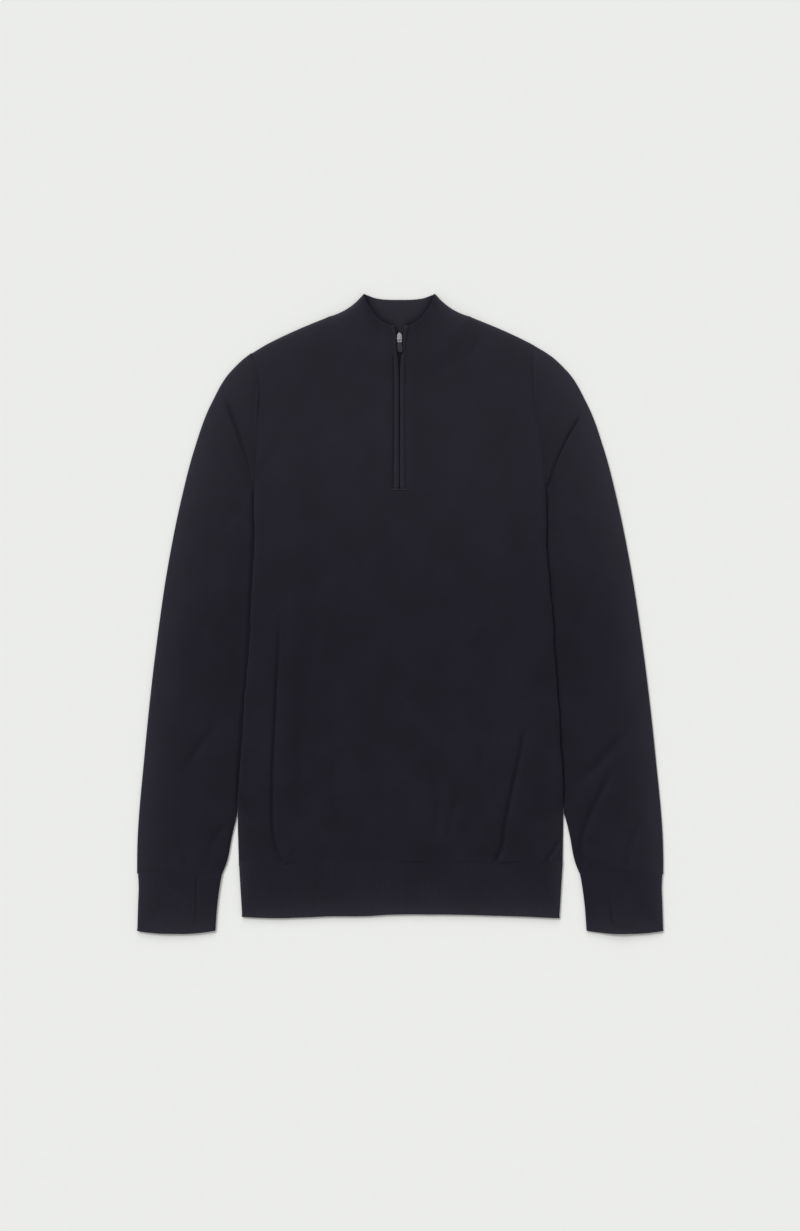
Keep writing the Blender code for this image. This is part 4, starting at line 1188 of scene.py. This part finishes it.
def make_zip(knit, tape, coil):
    def welt_section(y):
        inner, outer = float(welt_inner_x(y)), float(welt_outer_x(y))
        top = float(zip_height(y)) + WELT_RISE
        turn = np.linspace(0, np.pi / 2, 6)
        r = WELT_ROUND
        start = [(inner + r - r * np.cos(a), top - r + r * np.sin(a)) for a in turn]
        crown = [
            (inner + r + (outer - inner - 2 * r) * s, top + WELT_CROWN * np.sin(np.pi * s))
            for s in np.linspace(0, 1, 6)[1:-1]
        ]
        end = [(outer - r + r * np.sin(a), top - r + r * np.cos(a)) for a in turn]
        low = top - WELT_DEPTH
        section = [*start, *crown, *end, (outer, low), (inner, low)]
        wave = 0.12 * np.sin(y * 0.31) + 0.08 * np.sin(y * 0.83 + outer)
        return [(x, y, z + wave * (z > low + 0.5)) for x, z in section]

    def tape_section(y):
        top = float(zip_height(y)) - TAPE_BELOW
        low = top - TAPE_WALL
        inner = float(np.interp(y, *zip(*TAPE_PARTING)))
        return [(inner, y, top), (TAPE_OUTER_X, y, top), (TAPE_OUTER_X, y, low), (inner, y, low)]

    for side in SIDES:
        rows_y = np.linspace(WELT[0].y, WELT[-1].y, 96)
        # The welts get an even share of painted light.
        made = strip(f"welt_{side}", side, rows_y, welt_section, knit, painted_light=0.42)
        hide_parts(f"zip_welt_{side}")
        made = strip(f"tape_{side}", side, np.linspace(*TAPE_Y, 60), tape_section, tape)
        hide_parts(f"zip_tape_{side}")
        make_teeth(side, coil)


def make_teeth(side, material):
    """The nylon coil's loops on the inner edge of a tape, closed below the slider and parted above it."""
    bm = bmesh.new()
    for y in np.arange(TAPE_Y[0] + 1, TAPE_Y[1], COIL_PITCH):
        inner = float(np.interp(y, *zip(*COIL_PARTING)))
        y = y + (COIL_PITCH / 2 if side == "left" else 0.0)
        top = float(zip_height(y)) - TAPE_BELOW
        loop = bmesh.ops.create_uvsphere(bm, u_segments=8, v_segments=6, radius=1.0)
        for v in loop["verts"]:
            v.co.x = (SIGN[side] * (inner + 0.7) + v.co.x) * MM
            v.co.y = (y + v.co.y * 0.42) * MM
            v.co.z = (top + 0.35 + v.co.z * 0.5) * MM
    for face in bm.faces:
        face.smooth = True
    mesh = bpy.data.meshes.new(f"teeth_{side}")
    bm.to_mesh(mesh)
    bm.free()
    piece(f"teeth_{side}", mesh, material)


def tube(name, points, radius, material, body="sweater", sides=10, closed=False):
    """A round bar through points, with its UV map in millimetres."""
    points = np.array(points, float)
    step = np.gradient(points, axis=0)
    if closed:
        step = np.roll(points, -1, 0) - np.roll(points, 1, 0)
    step /= np.linalg.norm(step, axis=1)[:, None]
    up = np.array([0, 0, 1.0])
    side_ways = np.cross(step, up)
    side_ways /= np.maximum(np.linalg.norm(side_ways, axis=1)[:, None], 1e-6)
    over = np.cross(side_ways, step)
    turn = np.linspace(0, 2 * np.pi, sides, endpoint=False)
    round_way = side_ways[:, None] * np.cos(turn)[None, :, None] + over[:, None] * np.sin(turn)[None, :, None]
    rings = points[:, None] + radius * round_way
    along = np.concatenate([[0], np.cumsum(np.linalg.norm(np.diff(points, axis=0), axis=1))])
    uv = np.stack(np.broadcast_arrays(turn[None] * radius, along[:, None]), axis=-1)
    if closed:
        rings = np.concatenate([rings, rings[:1]])
        uv = np.concatenate([uv, uv[:1]])
        made = surface(name, rings, uv, material, body, ring=True, flip=True)
        weld = made.modifiers.new("weld", "WELD")
        weld.merge_threshold = 0.00002
        return made
    return surface(name, rings, uv, material, body, ring=True, cap_ends=True, flip=True)


def make_bartack(material):
    """The bar of close stitches that ends the zip."""
    z = float(zip_height(ZIP_END_Y)) + 0.5
    points = []
    for i in range(50):
        x = -6.8 + 13.6 * i / 49
        points.append((x, ZIP_END_Y - 0.5 + (0.7 if i % 2 else -0.7), z + 0.15 * np.sin(i)))
    tube("zip_end_stitches", points, 0.32, material, sides=6)


def rounded_plate(name, outline, low, high, edge, material, body="sweater"):
    """An upright plate on an outline with rounded edges."""
    bm = bmesh.new()
    floor = [bm.verts.new((x * MM, y * MM, low * MM)) for x, y in outline]
    roof = [bm.verts.new((x * MM, y * MM, high * MM)) for x, y in outline]
    bm.faces.new(floor[::-1])
    bm.faces.new(roof)
    for i in range(len(outline)):
        j = (i + 1) % len(outline)
        bm.faces.new([floor[i], floor[j], roof[j], roof[i]])
    bmesh.ops.bevel(bm, geom=bm.edges[:], offset=edge * MM, segments=3, affect="EDGES", profile=0.5)
    for face in bm.faces:
        face.smooth = True
    mesh = bpy.data.meshes.new(name)
    bm.to_mesh(mesh)
    bm.free()
    made = piece(name, mesh, material, body)
    smooth = made.modifiers.new("normals", "WEIGHTED_NORMAL")
    smooth.keep_sharp = True
    return made


def make_slider(metal, dark):
    """The slider and its bail: rounded versions of the CAD's plates, in the same places."""
    front = float(zip_height(323.4))
    top = front + 0.5
    side_line = [(2.6, 312.0), (2.7, 314.0), (2.8, 317.0), (2.8, 319.6)]
    side_line += [(2.45, 320.9), (1.7, 322.0), (0.8, 323.0)]
    outline = [*side_line, *((-x, y) for x, y in side_line[::-1])]
    plate = rounded_plate("slider_plate", outline, top - 1.4, top, 0.35, metal)
    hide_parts("zip_slider")
    low_top = front - 3.8
    rounded_plate("slider_back_plate", outline, low_top - 0.9, low_top, 0.2, metal)
    post = [(0.7, 320.8), (0.7, 323.0), (-0.7, 323.0), (-0.7, 320.8)]
    rounded_plate("slider_post", post, low_top - 0.3, top - 0.4, 0.15, metal)
    pin = front + 1.65
    arch = [
        (0, 313.5, top - 0.3),
        (0, 313.55, pin + 0.4),
        (0, 314.1, pin + 1.1),
        (0, 315.8, pin + 1.3),
        (0, 317.5, pin + 1.1),
        (0, 318.05, pin + 0.4),
        (0, 318.1, top - 0.3),
    ]
    fine = np.linspace(0, len(arch) - 1, 40)
    smooth_arch = np.stack([curve(range(len(arch)), line)(fine) for line in zip(*arch)], axis=-1)
    tube("slider_bail", smooth_arch, 0.62, metal, sides=14)
    for number, (y, reach) in enumerate(((319.0, 2.1), (321.3, 1.4))):
        ridge = [(x, y, top + 0.02) for x in np.linspace(-reach, reach, 8)]
        tube(f"slider_ridge_{number}", ridge, 0.3, metal, sides=10)
    make_pull(pin, metal, dark)


def leaning(line):
    """A line of the pull tab, whose lower end hangs a little to the right."""
    return [(x + TAB_LEAN * (TAB_LINK_Y - y), y, *height) for x, y, *height in line]


def make_pull(pin, metal, dark):
    """The wire link and the tab that it holds, at the height of the hinge pin."""
    half, low, high = 2.2, 312.2, 315.9
    corners = np.array([(half, high), (half, low), (-half, low), (-half, high)])
    bend = 0.16
    loop = []
    for number in range(4):
        a, b, c = (corners[(number + k) % 4] for k in range(3))
        loop += [a + (b - a) * s for s in np.linspace(bend, 1 - bend, 7)]
        start, end = a + (b - a) * (1 - bend), b + (c - b) * bend
        loop += [(1 - s) ** 2 * start + 2 * s * (1 - s) * b + s * s * end for s in (0.25, 0.5, 0.75)]
    loop = [(x, y, pin) for x, y in loop]
    link = tube("pull_link", loop, 0.45, metal, body="zip_pull", sides=12, closed=True)
    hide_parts("zip_pull_link")
    turns = np.linspace(-np.pi, 0, 17)
    outline = [(2.95 * np.cos(a), 303.15 + 2.95 * np.sin(a)) for a in turns]
    neck = path([(2.95, 304.4), (2.85, 307.6), (2.6, 310.4), (2.3, 311.9)], np.linspace(0, 1, 6))
    outline += [tuple(p) for p in neck] + [(-x, y) for x, y in neck[::-1]]
    tab = rounded_plate("pull_tab", leaning(outline), pin - 0.7, pin + 0.7, 0.4, dark, body="zip_pull")
    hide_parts("zip_pull_tab")
    on_face = pin + 0.62
    ridge = [(x, y, on_face) for x, y in zip(1.9 * np.cos(turns), 303.7 + 1.9 * np.sin(turns))]
    ridge = [(1.9, 307.6, on_face), *ridge[::-1], (-1.9, 307.6, on_face)]
    tube("pull_tab_rim", leaning(ridge), 0.22, dark, body="zip_pull", sides=8)


# --- surroundings ---


def make_floor():
    mesh = bpy.data.meshes.new("floor")
    half = 6.0
    below = -0.0003
    corners = [(-half, -half, below), (half, -half, below), (half, half, below), (-half, half, below)]
    mesh.from_pydata(corners, [], [(0, 1, 2, 3)])
    n = Nodes("pale board")
    place = n.place()
    speck = n.noise(place, 160.0, 3.0)
    n.set("Base Color", n.mix(speck, (0.80, 0.81, 0.79, 1), (0.82, 0.83, 0.81, 1)))
    n.set("Roughness", 0.9)
    n.set("Specular IOR Level", 0.1)
    mesh.materials.append(n.material)
    floor = bpy.data.objects.new("floor", mesh)
    bpy.context.scene.collection.objects.link(floor)


def lamp(name, kind, place, energy, **settings):
    """A lamp at this place, aimed at the sweater."""
    light = bpy.data.lights.new(name, kind)
    light.energy = energy
    for key, value in settings.items():
        setattr(light, key, value)
    made = bpy.data.objects.new(name, light)
    made.location = place
    made.rotation_euler = (-made.location).to_track_quat("-Z", "Y").to_euler()
    bpy.context.scene.collection.objects.link(made)


def make_light():
    scene = bpy.context.scene
    scene.view_settings.view_transform = "Standard"
    world = bpy.data.worlds.new("studio")
    scene.world = world
    world.use_nodes = True
    world.node_tree.nodes["Background"].inputs["Color"].default_value = (1, 1, 1, 1)
    world.node_tree.nodes["Background"].inputs["Strength"].default_value = 0.56
    lamp("key", "SUN", (-1.3, 1.3, 2.0), 1.5, angle=np.radians(16))
    lamp("from above the collar", "SUN", (-0.2, 2.6, 1.4), 0.8, angle=np.radians(30))


def make_camera():
    camera = bpy.data.cameras.new("camera")
    camera.lens = 85.0
    camera.sensor_width = 36.0
    made = bpy.data.objects.new("camera", camera)
    field = 1.41565
    made.location = (0.0006, -0.0017, 0.004 + field * camera.lens / camera.sensor_width)
    bpy.context.scene.collection.objects.link(made)
    bpy.context.scene.camera = made


def main():
    # painted_light_tone is the lighter colour that painted sheen and light mix into the knit.
    colour, dark, painted_light_tone = (0.0120, 0.0100, 0.0190), (0.0044, 0.0038, 0.0074), (0.033, 0.032, 0.043)
    knit = knit_material("navy stocking stitch", colour, dark, painted_light_tone, 1.9, 1.4, 0.22)
    rib = knit_material("navy rib stitch", colour, dark, painted_light_tone, RIB_PITCH / 2, 1.4, 0.20, RIB_PITCH)
    make_front(knit)
    make_back(knit)
    make_hem(rib)
    for side in SIDES:
        make_sleeve(side, knit)
        make_cuff(side, rib)
    make_collar(rib)
    make_zip(knit, tape_material(), coil_material())
    make_bartack(thread_material())
    make_slider(metal_material(), tab_material())
    make_floor()
    make_light()
    make_camera()


main()
